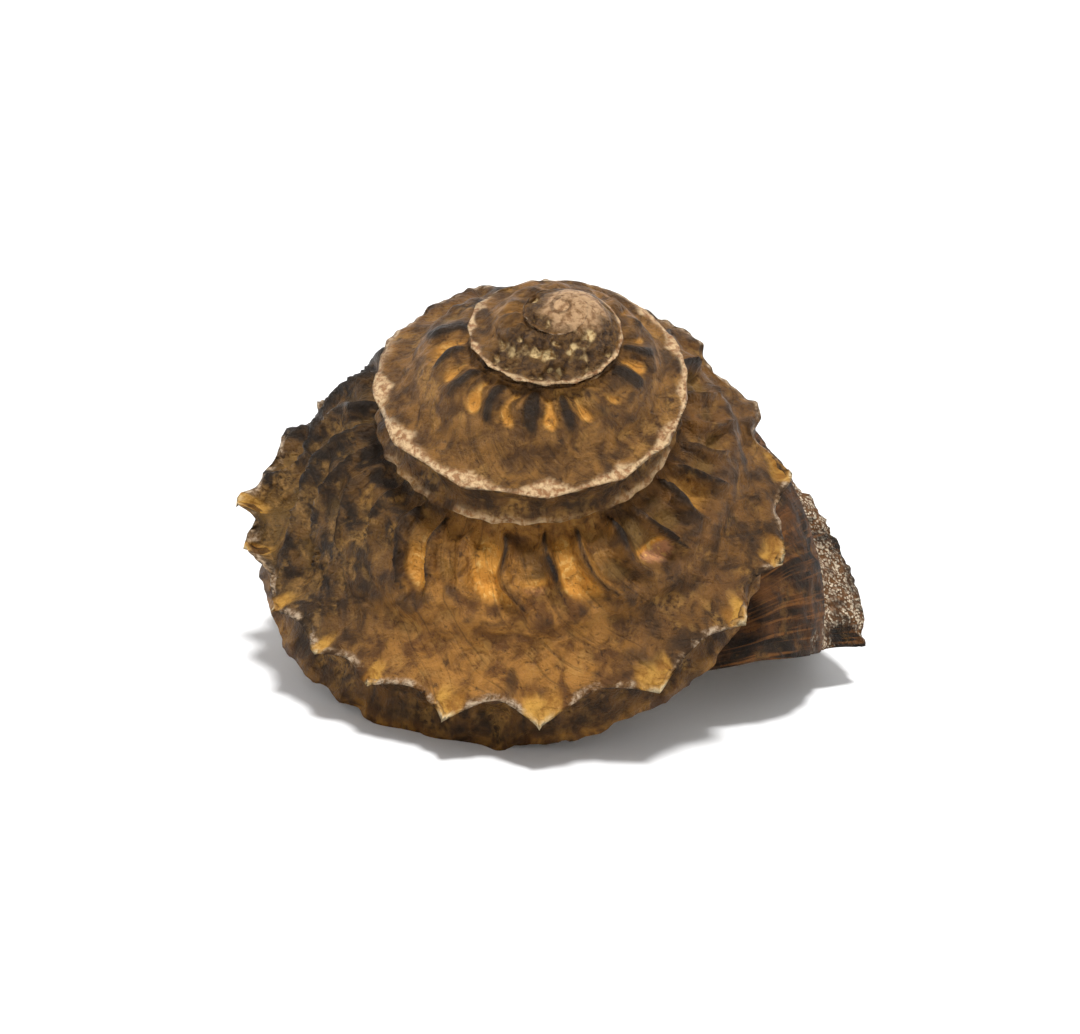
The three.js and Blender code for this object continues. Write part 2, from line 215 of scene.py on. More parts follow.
# %% The spines round the keel
# growth angle in degrees, and how far the spine draws the keel out, as a share of its radius
SPINES = np.array([
    [-404, 0.03], [-378, 0.03], [-350, 0.03], [-325, 0.035], [-300, 0.03], [-272, 0.035],
    [-243, 0.035], [-213, 0.035], [-185, 0.03], [-160, 0.03], [-138, 0.02], [-118, 0.06],
    [-95, 0.09], [-77, 0.07], [-50, 0.03], [-22, 0.02], [-2, 0.095], [23, 0.09],
    [40, 0.085], [63, 0.095], [86, 0.105], [103, 0.095], [119, 0.055], [131, 0.05],
    [145, 0.055], [163, 0.06], [175, 0.085], [187, 0.0], [450, 0.0],
])
BITES = [(-35, 9, 0.085), (-10, 5, 0.085), (205, 14, 0.055)]  # chips: angle, width, depth
TIP_SPACING = 22  # degrees, between the worn tips
WORN_REACH = 0.03
OLDEST_TIP = -1300  # degrees
SPINY_REACH = 0.05  # from this reach on a tip counts as a spine
SPINE_POINT = 1.7
SPINE_DROOP = 0.25
SPINE_ROOT, SPINE_END = 0.72, 0.28  # places on the ramp and on the side
worn_tips = np.arange(SPINES[0, 0] - TIP_SPACING, OLDEST_TIP, -TIP_SPACING)[::-1]
tip_angles = np.radians(np.concatenate([worn_tips, SPINES[:, 0]]))
tip_reaches = np.concatenate([np.full(len(worn_tips), WORN_REACH), SPINES[:, 1]])


def spine_at(angle):
    """How far out the keel is drawn here, as a share of its radius, and how near a tip this is.
    Between two tips each reach falls to nothing at the middle, as a power of what is left."""
    after = np.clip(np.searchsorted(tip_angles, angle), 1, len(tip_angles) - 1)
    before = after - 1
    share = (angle - tip_angles[before]) / (tip_angles[after] - tip_angles[before])
    share = np.clip(share, 0, 1)
    left = np.clip(1 - 2 * share, 0, 1)
    right = np.clip(2 * share - 1, 0, 1)
    reach = tip_reaches[before] * left**SPINE_POINT + tip_reaches[after] * right**SPINE_POINT
    spiny = np.minimum(reach / SPINY_REACH, 1)
    for at, width, depth in BITES:
        reach = reach - depth * bell(np.degrees(angle), at, width)
    return reach, spiny * np.maximum(left, right)


print("tips round the keel:", len(tip_angles))

# %% [markdown]
# ### The lower keel
# The lower keel carries small bumps instead of spines. A wave round the coil gives them, and two
# slower waves make them uneven. Three larger points that show in the photograph are listed.

# %% The bumps of the lower keel, and the whole section
LOWER_POINTS = [(93, 2.0, 0.035), (78, 1.6, 0.02), (121, 1.8, 0.015)]  # angle, width, height
BEADS_A_TURN = 34
BEAD_REACH = 0.026
BEAD_START = 0.75  # place on the side


def beads_at(angle):
    """The small uneven bumps of the lower keel, as a share of the keel radius: a wave round the
    coil, made larger and smaller by two slow ones."""
    size = 0.6 + 0.4 * np.sin(7.3 * angle) * np.sin(3.7 * angle + 1)
    wave = 0.5 + 0.5 * np.cos(BEADS_A_TURN * angle + 1.1 * np.sin(5 * angle))
    large = sum(high * bell(np.degrees(angle), at, width) for at, width, high in LOWER_POINTS)
    return BEAD_REACH * size * wave + large


def section_point(angle, place):
    """Coil point in mm at a growth angle and a running place in the section, with its spines."""
    angle, place = np.broadcast_arrays(np.asarray(angle, float), np.asarray(place, float))
    reach, _ = spine_at(angle)
    radius = keel_radius(angle)
    on_ramp = np.clip(place, 0, 1)
    on_side = np.clip(place - 1, 0, 1)
    on_base = np.clip(place - 2, 0, 1)
    ramp_r, ramp_z = ramp_line(angle, on_ramp)
    side_r, side_z = side_line(angle, on_side)
    base_r, base_z = base_line(angle, on_base)
    r = np.where(place <= 1, ramp_r, np.where(place <= 2, side_r, base_r))
    z = np.where(place <= 1, ramp_z, np.where(place <= 2, side_z, base_z))
    drawn = ramp(on_ramp, SPINE_ROOT, 1.0) ** 1.5
    drawn = np.where(place <= 1, drawn, 1 - ramp(on_side, 0, SPINE_END))
    spine = reach * radius * drawn
    bead = beads_at(angle) * radius * np.where(
        place <= 2, ramp(on_side, BEAD_START, 1), 1 - ramp(on_base, 0, SEAM_PLACE)
    )
    r = r + spine + bead
    z = z - SPINE_DROOP * spine
    return np.stack([r * np.cos(angle), -r * np.sin(angle), z], -1)


print("keel point at angle 0, mm:", np.round(section_point(0.0, 1.0), 2))

# %% [markdown]
# ## The lip
# The shell ends on an oblique plane. The finished shell could be cut there, but a cut leaves a
# ragged edge across the grid. Instead, every line that runs round the coil is followed to its
# own angle on the plane, which is found by halving an interval again and again, for all at once.

# %% Where the growth ends
LIP_POINT = np.array([30.2, -3.0, -16.9])  # mm
LIP_NORMAL = np.array([0.11, -0.78, -0.62])
LIP_NORMAL = LIP_NORMAL / np.linalg.norm(LIP_NORMAL)
LIP_EARLIEST, LIP_LATEST = 0.75 * TURN, 1.14 * TURN
HALVINGS = 40


def lip_angles(places):
    """Growth angle at which the line round the coil at each place meets the plane of the lip."""
    low = np.full(len(places), LIP_EARLIEST)
    high = np.full(len(places), LIP_LATEST)
    for _ in range(HALVINGS):
        middle = (low + high) / 2
        beyond = (section_point(middle, places) - LIP_POINT) @ LIP_NORMAL
        low = np.where(beyond < 0, middle, low)
        high = np.where(beyond < 0, high, middle)
    return (low + high) / 2


print("both keels end at turn", np.round(lip_angles(np.array([1.0, 2.0])) / TURN, 3))

# %% [markdown]
# ## Noise
# Nothing that grew is even. Blender's own noise could give the small differences, but only point
# by point. Here they are read smoothly, as whole arrays, from lattices of random numbers. Each
# lattice has a seed, so they are the same each time the lesson runs.

# %% A seeded noise
LATTICE = 32  # corners along each edge before the numbers repeat
LATTICE_SHIFT = 1000.5  # cells: puts the coil's origin in the middle of one


def noise(points, size, seed):
    """Smooth noise from -1 to 1: random corner values, blended inside each cell of that size."""
    lattice = np.random.default_rng(seed).uniform(-1, 1, (LATTICE, LATTICE, LATTICE))
    place = np.asarray(points) / size + LATTICE_SHIFT
    cell = np.floor(place).astype(int)
    share = place - cell
    share = share * share * (3 - 2 * share)
    total = np.zeros(place.shape[:-1])
    for corner in range(8):
        step = np.array([corner & 1, (corner >> 1) & 1, (corner >> 2) & 1])
        index = (cell + step) % LATTICE
        weight = np.where(step == 1, share, 1 - share).prod(-1)
        total += weight * lattice[index[..., 0], index[..., 1], index[..., 2]]
    return total


def mixed_noise(points, layers, start=0):
    """A starting value and noises added to it, each with its cell size in mm, its weight and its
    seed."""
    return sum((weight * noise(points, size, seed) for size, weight, seed in layers), start)


print("noise at the coil's origin:", round(float(noise(np.zeros(3), 1.0, 1)), 3))

# %% [markdown]
# ## The relief
# On top of the plain coil lies the relief: folds across the shoulder, growth leaves, beads and
# lumps, knobs and wear at the tip, and a granular crust near the lip. It could be left to bump
# in the material, but bump shows neither in the outline nor in the mesh itself. So each part is
# a height in mm, worked out from the growth angle and the place in the section. Masks of the
# parts are kept as attributes of the mesh, because the colours follow the relief.

# %% The lines of growth
SWEEP_STRAIGHT, SWEEP_BENT, SWEEP_START = 0.08, 0.5, -0.069  # radians, over the ramp
SWEEP_SIDE, SWEEP_BASE = 0.1, 0.3  # radians, over the side and over the base
SWEEP_LOST = [(0.7, 0.42, 0.5), (0.3, 0.62, 1.0)]  # share, from turn, to turn
GROWTH_RATE = 0.09  # share of the radius that one radian of growth adds
RAMP_WIDE, SIDE_WIDE, BASE_WIDE = 12, 6, 20  # mm


def growth_line(nominal, place):
    """The growth angle of the line through a point: lines sweep back towards the keel, by a
    straight part and a square of the place on the ramp, until the lip takes over their lean."""
    on_ramp = np.clip(place, 0, 1)
    turns = nominal / TURN
    sweep = SWEEP_STRAIGHT * on_ramp + SWEEP_BENT * on_ramp**2 + SWEEP_START
    sweep = sweep + SWEEP_SIDE * np.clip(place - 1, 0, 1) + SWEEP_BASE * np.clip(place - 2, 0, 1)
    left = 1
    for lost, start, end in SWEEP_LOST:
        left = left - lost * ramp(turns, start, end)
    return nominal + sweep * left


def line_length(grown):
    """Length grown along the keel up to here, in mm: for a coil that grows evenly it is the
    radius over the rate of growth."""
    return keel_radius(grown) / GROWTH_RATE


def sides(place):
    """How much of the ramp and of the side lies before a place, and whether it is on the ramp."""
    return np.clip(place, 0, 1), np.clip(place - 1, 0, 1), place <= 1


def span(value, start, full, fading, gone):
    """1 over a stretch and 0 outside it, with soft ends."""
    return ramp(value, start, full) * (1 - ramp(value, fading, gone))


last_turn = line_length(TURN) - line_length(0.0)
print("grown along the keel in the last turn, mm:", round(float(last_turn), 1))

# %% [markdown]
# ### The folds
# A fold is a thickening that the animal laid down across its shoulder. Equal folds could come
# from one wave round the coil, but the real ones differ, so each is listed with its place,
# height, colour and length. The crests are numbered, and the nearest number picks the row.

# %% The folds of the shoulder
# crest angle in degrees, height, warmth from greenish through golden to pinkish, length
FOLDS = np.array([
    [-365, 0.8, 0.4, 0.4], [-338, 1.0, 0.42, 0.42], [-311, 0.9, 0.42, 0.42],
    [-289, 1.1, 0.42, 0.44], [-268, 1.1, 0.45, 0.46], [-247, 1.1, 0.42, 0.46],
    [-225, 1.1, 0.42, 0.45], [-202, 0.9, 0.4, 0.4], [-178, 1.1, 0.4, 0.4],
    [-152, 0.8, 0.25, 0.45], [-128, 1.0, 0.2, 0.5], [-104, 1.0, 0.2, 0.5], [-82, 1.0, 0.15, 0.5],
    [-64, 0.9, 0.15, 0.5], [-48, 1.0, 0.2, 0.5], [-33, 0.7, 0.2, 0.4], [-19, 1.0, 0.15, 0.5],
    [-6, 0.7, 0.2, 0.42], [6, 1.0, 0.15, 0.48], [18, 0.7, 0.25, 0.42], [30, 1.0, 0.35, 0.48],
    [44, 0.8, 0.1, 0.4], [55, 1.0, 0.85, 0.5], [68, 0.75, 0.1, 0.5], [79, 1.15, 0.52, 0.52],
    [91, 0.7, 0.75, 0.47], [103, 1.25, 0.52, 0.5], [114, 0.75, 0.3, 0.45],
    [124, 0.95, 0.45, 0.52], [135, 0.45, 0.3, 0.45], [147, 0.5, 0.2, 0.4], [158, 0.6, 0.15, 0.6],
    [169, 0.8, 0.15, 0.85], [181, 1.1, 0.2, 1.0], [194, 0.9, 0.2, 1.0], [210, 1.2, 0.2, 1.05],
    [229, 1.0, 0.2, 1.0], [248, 0.7, 0.2, 0.8], [268, 0.5, 0.2, 0.7], [290, 0.4, 0.2, 0.7],
    [315, 0.3, 0.2, 0.6], [340, 0.2, 0.2, 0.6], [370, 0.2, 0.2, 0.5], [400, 0.1, 0.2, 0.5],
    [430, 0.1, 0.2, 0.5],
])
OLDER_SPACING = 27  # degrees
OLDER_FOLD = (0.5, 0.4, 0.4)  # height, warmth, length
OLDEST_FOLD = -1400  # degrees
FOLD_THICKENS = (-0.45, -0.05)  # turns over which thin folds become thick ones
UNREST = 0.2  # of the way to the next fold
older = np.arange(FOLDS[0, 0] - OLDER_SPACING, OLDEST_FOLD, -OLDER_SPACING)[::-1]
older = np.stack([older] + [np.full(len(older), value) for value in OLDER_FOLD], 1)
folds = np.concatenate([older, FOLDS])
fold_numbers = np.arange(len(folds))


def folds_at(grown, on_ramp, unrest):
    """Crest (0 to about 2), groove (0 to 1) and warmth (0 to 1) of the folds. The crests are
    numbered, and the number read at a growth line, less the nearest whole one, says where in a
    fold it is."""
    read = np.interp(np.degrees(grown), folds[:, 0], fold_numbers) + UNREST * unrest
    nearest = np.clip(np.rint(read).astype(int), 0, len(folds) - 1)
    off = np.abs(read - nearest) * 2
    size, warmth, length = folds[nearest, 1], folds[nearest, 2], folds[nearest, 3]
    grown_up = ramp(grown / TURN, *FOLD_THICKENS)
    thin = np.clip(1 - off * 1.25, 0, 1) ** 1.3
    thick = 1 - ramp(off, 0.35, 1.0)
    shape = thin + (thick - thin) * grown_up
    inside = ramp(on_ramp, 0.015, 0.1) * (1 - ramp(on_ramp, length - 0.1, length + 0.08))
    swell = 0.72 + 0.5 * bell(on_ramp, length - 0.13, 0.1)
    groove = ramp(off, 0.42 + 0.24 * grown_up, 0.98) * inside * np.minimum(size, 1)
    groove = groove * (0.65 + 0.5 * unrest)
    pinker = 0.2 + (warmth - 0.2) * ramp(on_ramp, 0.28, 0.42)
    warmth = np.where(warmth > 0.6, pinker, warmth)
    return shape * size * inside * swell * (1 + 0.35 * unrest), np.clip(groove, 0, 1), warmth


print("folds:", len(folds), "of which listed one by one:", len(FOLDS))

# %% [markdown]
# ### Lumps, beads and growth leaves
# Between the folds the skin is never smooth. Lumps are noise in space. Beads and growth leaves
# follow the growth, so their noise is read on the unrolled skin, where one direction is the
# length grown and the other is the way across the section.

# %% The skin between the folds
LUMPS = [(2.3, 1, 21), (1.2, 0.75, 22), (0.65, 0.4, 23)]  # size in mm, weight, seed
FINE_LUMPS = [(0.9, 1, 24), (0.55, 1, 25)]
BEAD_RISE, LUMP_RISE, FINE_RISE, LEAF_RISE = 0.24, 0.25, 0.09, 0.08  # mm
BEAD_SHIFT, BEAD_GRAIN, LEAF_GRAIN = (1.6, 8), (0.62, 9), (1.0, 12)  # size in mm, seed
LATE_TURNS = (0.62, 0.85)  # turns over which the last stretch begins
BEADED_TURNS = (0.33, 0.39, 0.5, 0.58)


def skin_relief(turns, place, points, grown_mm, across_mm, small):
    """Height in mm of beads, lumps and leaves, with the masks of beads and lumps: lumps are
    summed noises, and beads and leaves are the high parts of noises on the unrolled skin."""
    on_ramp, _, is_ramp = sides(place)
    beaded = span(turns, *BEADED_TURNS) * ramp(on_ramp, 0.22, 0.5) * is_ramp
    beaded = np.maximum(beaded, 0.6 * (place > 1) * (1 - ramp(turns, *LATE_TURNS)))
    shifted_mm = grown_mm + 0.3 * noise(points, *BEAD_SHIFT)
    bead_skin = np.stack([shifted_mm, across_mm * 1.15, 0 * grown_mm], -1)
    beads = np.clip(0.5 + 1.1 * noise(bead_skin, *BEAD_GRAIN), 0, 1) ** 1.5 * beaded
    leaf_skin = np.stack([grown_mm, across_mm * 0.22, 0 * grown_mm], -1)
    leaf = ramp(noise(leaf_skin, *LEAF_GRAIN), -0.3, 0.5)
    lumps = mixed_noise(points, LUMPS)
    fine = mixed_noise(points, FINE_LUMPS)
    rough = LUMP_RISE * lumps + FINE_RISE * fine + LEAF_RISE * (leaf - 0.5)
    plainer = np.where(is_ramp, 0.7 + 0.3 * ramp(on_ramp, 0.1, 0.5), 1)
    height = BEAD_RISE * beads + rough * plainer * small
    return height, {"beads": beads, "lump": np.clip(0.5 + 0.3 * lumps + 0.3 * fine, 0, 1)}


print("lumps of the skin, mm across:", [size for size, _, _ in LUMPS + FINE_LUMPS])

# %% [markdown]
# ### The worn tip
# The oldest whorls have been rubbed the longest. Knobs cover the first one, and the very tip is
# a pale low dome. A dome joined on there would leave an edge, so a round height takes over from
# the coil little by little, the nearer to the tip's middle the more.

# %% The knobs and the dome
DOME_X, DOME_Y = 0.7, 0.4  # mm, middle of the worn tip
DOME_TOP = 13.75  # mm
DOME_BEND = 3.0  # mm, radius of its roundness
DOME_EDGE = (1.6, 3.6)  # mm from its middle, where the coil takes over
DOME_PALE = (1.6, 2.5)  # mm from its middle, where its pale colour ends
DOME_TURNS = (-1.9, -1.7)
DOME_SHARE = 0.95
KNOBS = [(0.62, 1, 31), (0.36, 0.5, 32)]  # size in mm, weight, seed
DOME_RAGGED, DOME_GRAIN = (0.7, 34), (0.8, 33)  # size in mm, seed
KNOB_TURNS = (-1.62, -1.48)
KNOB_RISE, DOME_ROUGHNESS = 0.46, 0.07  # mm


def from_tip(points):
    """Distance in mm from the middle of the worn tip, seen along the axis of the coil."""
    return np.hypot(points[..., 0] - DOME_X, points[..., 1] - DOME_Y)


def worn_dome(points):
    """Height of the worn tip, a top height less the square of the distance from its middle, and
    the share by which it takes over from the coil."""
    away = from_tip(points)
    return DOME_TOP - away**2 / (2 * DOME_BEND), 1 - ramp(away, *DOME_EDGE)


def wear_relief(turns, place, points):
    """Height in mm of the knobs and of the dome's fine roughness, with their masks."""
    on_ramp, _, is_ramp = sides(place)
    dome = 1 - ramp(from_tip(points) + 0.3 * noise(points, *DOME_RAGGED), *DOME_PALE)
    dome = dome * (1 - ramp(turns, *DOME_TURNS))
    granular = (1 - ramp(turns, *KNOB_TURNS)) * (1 - dome)
    granular = granular * np.where(is_ramp, 1 - ramp(on_ramp, 0.86, 0.96), 0.3)
    knobs = np.clip(mixed_noise(points, KNOBS), -0.3, 1)
    height = KNOB_RISE * granular * knobs + DOME_ROUGHNESS * dome * noise(points, *DOME_GRAIN)
    return height, {"granular": granular, "knobs": knobs * granular, "dome": dome}


print("the worn tip takes over within", DOME_EDGE[1], "mm of its middle")

# %% [markdown]
# ### The crust and the keel
# Something grew over the shell near its lip and left a crust of small grains. Scattered pebbles
# would be thousands of pieces, and noise cut off from below gives a similar look in one skin. The
# keel has ridges that run out to its spines, and a crumbling edge.

# %% The crust, the ridges and the rim
CRUST_TURNS = (0.74, 0.93)
CRUST_EDGE = [(1.8, 0.22, 43), (0.8, 0.1, 44)]  # size in mm, weight, seed
CRUST_GRAINS, CRUST_ROLLS = (0.42, 41), (0.9, 42)  # size in mm, seed
GRAIN_RISE, ROLL_RISE, CRUST_RISE = 0.24, 0.2, 0.12  # mm
RIDGE_RISE, RIM_RISE = 0.42, 0.1  # mm
RIM_CRUMBS = [(1.0, 0.26, 51), (0.55, 0.12, 52)]


def crust_relief(turns, place, points):
    """Height in mm of the crust, a thin layer with rolls and grains, and its masks."""
    on_ramp, on_side, is_ramp = sides(place)
    ragged = mixed_noise(points, CRUST_EDGE, on_ramp)
    edge_band = np.where(is_ramp, ramp(ragged, 0.62, 0.8), 1 - ramp(on_side, 0.2, 0.6))
    crust = ramp(turns, *CRUST_TURNS) * edge_band * (place <= 2)
    grains = noise(points, *CRUST_GRAINS)
    layer = GRAIN_RISE * np.clip(grains, -0.4, 1) + ROLL_RISE * noise(points, *CRUST_ROLLS)
    height = crust * (layer + CRUST_RISE)
    return height, {"crust": crust, "grains": np.clip(grains * 0.5 + 0.5, 0, 1)}


def keel_relief(angle, place, points, small):
    """Height in mm of the ridges, highest at the tips, and of the rim, and the rim's mask."""
    on_ramp, on_side, is_ramp = sides(place)
    ridge = np.where(is_ramp, ramp(on_ramp, 0.74, 0.97), 1 - ramp(on_side, 0, 0.22))
    ridge_height = RIDGE_RISE * ridge * spine_at(angle)[1] ** 3 * small
    rim = np.where(is_ramp, ramp(on_ramp, 0.925, 0.985), 1 - ramp(on_side, 0.03, 0.12))
    return ridge_height, rim * mixed_noise(points, RIM_CRUMBS, RIM_RISE) * small, rim


print("the crust begins at turn", CRUST_TURNS[0])

# %% [markdown]
# ### All of the relief
# The parts are heights over the same coil, so they are simply added up. Folds and grooves get
# deeper with age, and everything ends just before the suture, so that two whorls still meet.

# %% The sum of the relief
FOLD_RISE, FOLD_RISE_WITH_AGE = 0.5, 0.62  # mm
GROOVE_DEPTH, GROOVE_DEPTH_WITH_AGE = 0.25, 0.4  # mm
FOLD_WOBBLE = (1.9, 3)  # size in mm, seed
SMALLEST = 0.15  # share of the full relief that the first whorls keep


def relief_at(angle, nominal, place, points):
    """Height in mm over the plain coil, and the masks that the finishes use."""
    on_ramp, on_side, is_ramp = sides(place)
    turns = nominal / TURN
    small = np.clip(keel_radius(angle) / KEEL_RADIUS, SMALLEST, 1.0)
    grown = growth_line(nominal, place)
    grown_mm = line_length(grown)
    beyond_ramp = RAMP_WIDE + on_side * SIDE_WIDE
    on_base_mm = RAMP_WIDE + SIDE_WIDE + (place - 2) * BASE_WIDE
    across_mm = np.where(is_ramp, on_ramp * RAMP_WIDE, np.where(place > 2, on_base_mm, beyond_ramp))
    fold, groove, warmth = folds_at(grown, on_ramp, noise(points, *FOLD_WOBBLE))
    fold, groove = np.where(is_ramp, fold, 0), np.where(is_ramp, groove, 0)
    age = ramp(turns, FOLD_THICKENS[0], 0.0)
    height = (FOLD_RISE + FOLD_RISE_WITH_AGE * age) * fold
    height = height - (GROOVE_DEPTH + GROOVE_DEPTH_WITH_AGE * age) * groove
    masks = {"fold": fold, "groove": groove, "warmth": warmth}
    masks.update({"grown": grown_mm, "across": across_mm})
    for part, part_masks in (
        skin_relief(turns, place, points, grown_mm, across_mm, small),
        wear_relief(turns, place, points),
        crust_relief(turns, place, points),
    ):
        height = height + part
        masks.update(part_masks)
    ridge_height, rim_height, rim = keel_relief(angle, place, points, small)
    masks["rim"] = rim * (1 - ramp(turns, *LATE_TURNS))
    at_seam = np.where(is_ramp, ramp(on_ramp, 0, 0.03), 1.0)
    return (height + ridge_height + rim_height) * at_seam, masks


print("folds and grooves get deeper from turn", FOLD_THICKENS[0], "to turn 0")

# %% [markdown]
# ## The grid
# Rows are growth angles and columns are places in the section. A turn has 448 rows on the large
# whorls, half as many on the next one in and half again near the tip, because even rows would
# crowd there. The last column of a turn is the first column of the next, so the suture is one
# line of points with no gap.

# %% Rows, columns and their numbers
TICKS = 448
FIRST_TICK, MIDDLE_TICK, FINE_TICK, LAST_TICK = -1480, -784, -292, 508
BASE_TICK = LAST_TICK - TICKS
RAMP_COLUMNS, SIDE_COLUMNS, BASE_COLUMNS = 42, 14, 35
ticks = np.concatenate([
    np.arange(FIRST_TICK, MIDDLE_TICK, 4),
    np.arange(MIDDLE_TICK, FINE_TICK, 2),
    np.arange(FINE_TICK, LAST_TICK + 1),
])
columns = np.concatenate([
    np.linspace(0, 1, RAMP_COLUMNS, endpoint=False),
    np.linspace(1, 2, SIDE_COLUMNS, endpoint=False),
    [2.0, 2 + 0.5 * SEAM_PLACE, 2 + SEAM_PLACE],
    np.linspace(2 + SEAM_PLACE, 3, BASE_COLUMNS)[1:],
])
SEAM = RAMP_COLUMNS + SIDE_COLUMNS + 2  # the column on which the next whorl's ramp starts
INNER = len(columns) - 1
row_of = {int(tick): row for row, tick in enumerate(ticks)}
base_row = row_of[BASE_TICK]
last_row = len(ticks) - 1
print("rows and columns:", len(ticks), len(columns))

# %% [markdown]
# ### Rows that end on the lip
# Most rows are at one growth angle. Over the last stretch each column is stretched or squeezed,
# a little more with every row, so that the last row lies on the plane of the lip. Only close to
# the suture does it leave the plane, to end where the seam ends.

# %% The growth angle at every grid point
WARP_START = 0.62 * TURN
row_angles = ticks * TURN / TICKS
ends = lip_angles(columns)
seam_end = row_angles[-1]
ends = ends + (seam_end - ends[0]) * (1 - ramp(columns, 0, 0.2))
late_share = np.clip((row_angles - WARP_START) / (seam_end - WARP_START), 0, 1)[:, None]
angles = np.where(
    row_angles[:, None] > WARP_START,
    WARP_START + late_share * (ends[None, :] - WARP_START),
    row_angles[:, None],
)
places = np.broadcast_to(columns, angles.shape)
print("lip angles in turns:", np.round(ends[[0, 20, 42, 56, 70, INNER]] / TURN, 3))

# %% [markdown]
# ### The relief on the grid
# The height could be added straight up, along the coil's axis, but then the steep sides would
# get nothing. It is added along the normal of the plain coil, which is the cross product of a
# small step along the growth and a small step across it.

# %% Points of the grid, moved along their normals by the relief
STEP = 0.004
DEEPEST = -0.7  # mm, away from the lip
SEAM_WIDTH = 0.03  # share of the base on which the relief fades out
LIP_TURNS = (0.7, 0.95)
plain = section_point(angles, places)
ahead = section_point(angles + STEP, places) - section_point(angles - STEP, places)
inner_place = np.clip(places - STEP * 4, 0, 3)
outer_place = np.clip(places + STEP * 4, 0, 3)
across = section_point(angles, outer_place) - section_point(angles, inner_place)
normals = np.cross(across, ahead)
normals = normals / np.maximum(np.linalg.norm(normals, axis=-1, keepdims=True), 1e-9)
nominal = np.broadcast_to(row_angles[:, None], angles.shape)
height, masks = relief_at(angles, nominal, places, plain)
near_seam = 1 - bell(places, 2 + SEAM_PLACE, SEAM_WIDTH) * (ticks[:, None] <= BASE_TICK)
height = height * near_seam
lip_share = ramp(nominal / TURN, *LIP_TURNS)
height = np.maximum(height, DEEPEST * (1 - lip_share))
grid = plain + normals * height[..., None]
dome_height, _ = worn_dome(grid)
dome_share = worn_dome(plain)[1] * (1 - ramp(nominal / TURN, *DOME_TURNS)) * DOME_SHARE
grid[..., 2] = grid[..., 2] * (1 - dome_share) + dome_height * dome_share
print("relief from", round(float(height.min()), 2), "to", round(float(height.max()), 2), "mm")

# %% [markdown]
# ### Points and faces
# Every whorl could be a mesh of its own, merged afterwards. Giving the last column of a whorl the
# numbers of the next whorl's first column joins them from the start. Where the rows get finer, a
# face beside the seam takes in the extra points and has more than four corners.

# %% Numbering the points: the seam column belongs to the next turn
own = np.zeros(grid.shape[:2], bool)
own[:, :SEAM] = True
own[base_row:, :] = True
own[base_row, SEAM] = False
number = np.full(grid.shape[:2], -1)
number[own] = np.arange(own.sum())
shared_rows = np.arange(base_row + 1)
above = np.array([row_of[int(tick) + TICKS] for tick in ticks[shared_rows]])
number[shared_rows, SEAM] = number[above, 0]
points = [grid[own]]
print("points of the outside:", int(own.sum()))

# %% Faces of the outside
a = number[:-1, :SEAM]
b = number[:-1, 1 : SEAM + 1]
c = number[1:, 1 : SEAM + 1]
d = number[1:, :SEAM]
quads = np.stack([a, b, c, d], -1)
step_above = np.array([
    row_of[int(t1) + TICKS] - row_of[int(t0) + TICKS] if t1 <= BASE_TICK else 1
    for t0, t1 in zip(ticks[:-1], ticks[1:])
])
split = step_above > 1
faces = quads[:, : SEAM - 1].reshape(-1, 4).tolist()
faces += quads[~split, SEAM - 1].tolist()
for row in np.flatnonzero(split):
    low, high = row_of[int(ticks[row]) + TICKS], row_of[int(ticks[row + 1]) + TICKS]
    seam_points = number[low : high + 1, 0].tolist()
    faces.append([int(number[row, SEAM - 1])] + seam_points + [int(number[row + 1, SEAM - 1])])
a = number[base_row:-1, SEAM:INNER]
b = number[base_row:-1, SEAM + 1 :]
c = number[base_row + 1 :, SEAM + 1 :]
d = number[base_row + 1 :, SEAM:INNER]
faces += np.stack([a, b, c, d], -1).reshape(-1, 4).tolist()
print("faces of the outside:", len(faces))

# %% [markdown]
# ## The tip
# The grid has an open start in the middle of the worn dome. One flat cap would show as a
# facet, so it is closed by two rings, which follow the dome's roundness, and a point.

# %% Closing the tip
def add_points(new):
    """Adds points to the list and returns their numbers, as an array of the same layout."""
    new = np.asarray(new, float)
    start = sum(len(block) for block in points)
    points.append(new.reshape(-1, 3))
    return start + np.arange(new.size // 3).reshape(new.shape[:-1])


def join_rings(outer, inner, closed=True):
    """Four-sided faces between two rings of point numbers."""
    if closed:
        outer, inner = np.append(outer, outer[0]), np.append(inner, inner[0])
    return np.stack([outer[:-1], outer[1:], inner[1:], inner[:-1]], -1).tolist()


def point_at(numbers):
    """The places of numbered points."""
    return np.concatenate(points)[numbers]


TIP_RINGS = (0.3, 0.6)  # share of the way to the top
first_turn = [row for row in range(len(ticks)) if ticks[row] <= FIRST_TICK + TICKS]
tip_ring = np.concatenate([number[first_turn, 0], number[0, 1:SEAM][::-1]])
tip_top = np.array([0, 0, float(worn_dome(np.zeros(3))[0])])
ring = tip_ring
for share in TIP_RINGS:
    nearer = point_at(tip_ring) * (1 - share) + tip_top * share
    nearer[:, 2] = nearer[:, 2] * (1 - share) + worn_dome(nearer)[0] * share
    inner = add_points(nearer)
    faces += join_rings(ring, inner)
    ring = inner
top_number = int(add_points(tip_top[None, :])[0])
faces += [[int(p), int(q), top_number] for p, q in zip(ring, np.roll(ring, -1))]
print("points with the tip:", top_number + 1)

# %% [markdown]
# ## The pillar
# Underneath, the whorls wind round a pillar, which closes the hole between them and ends in a
# rounded foot beside the mouth. A separate post would leave a line where it meets the base, so
# the inner edge of the last turn is drawn in and down to one point, ring by ring.

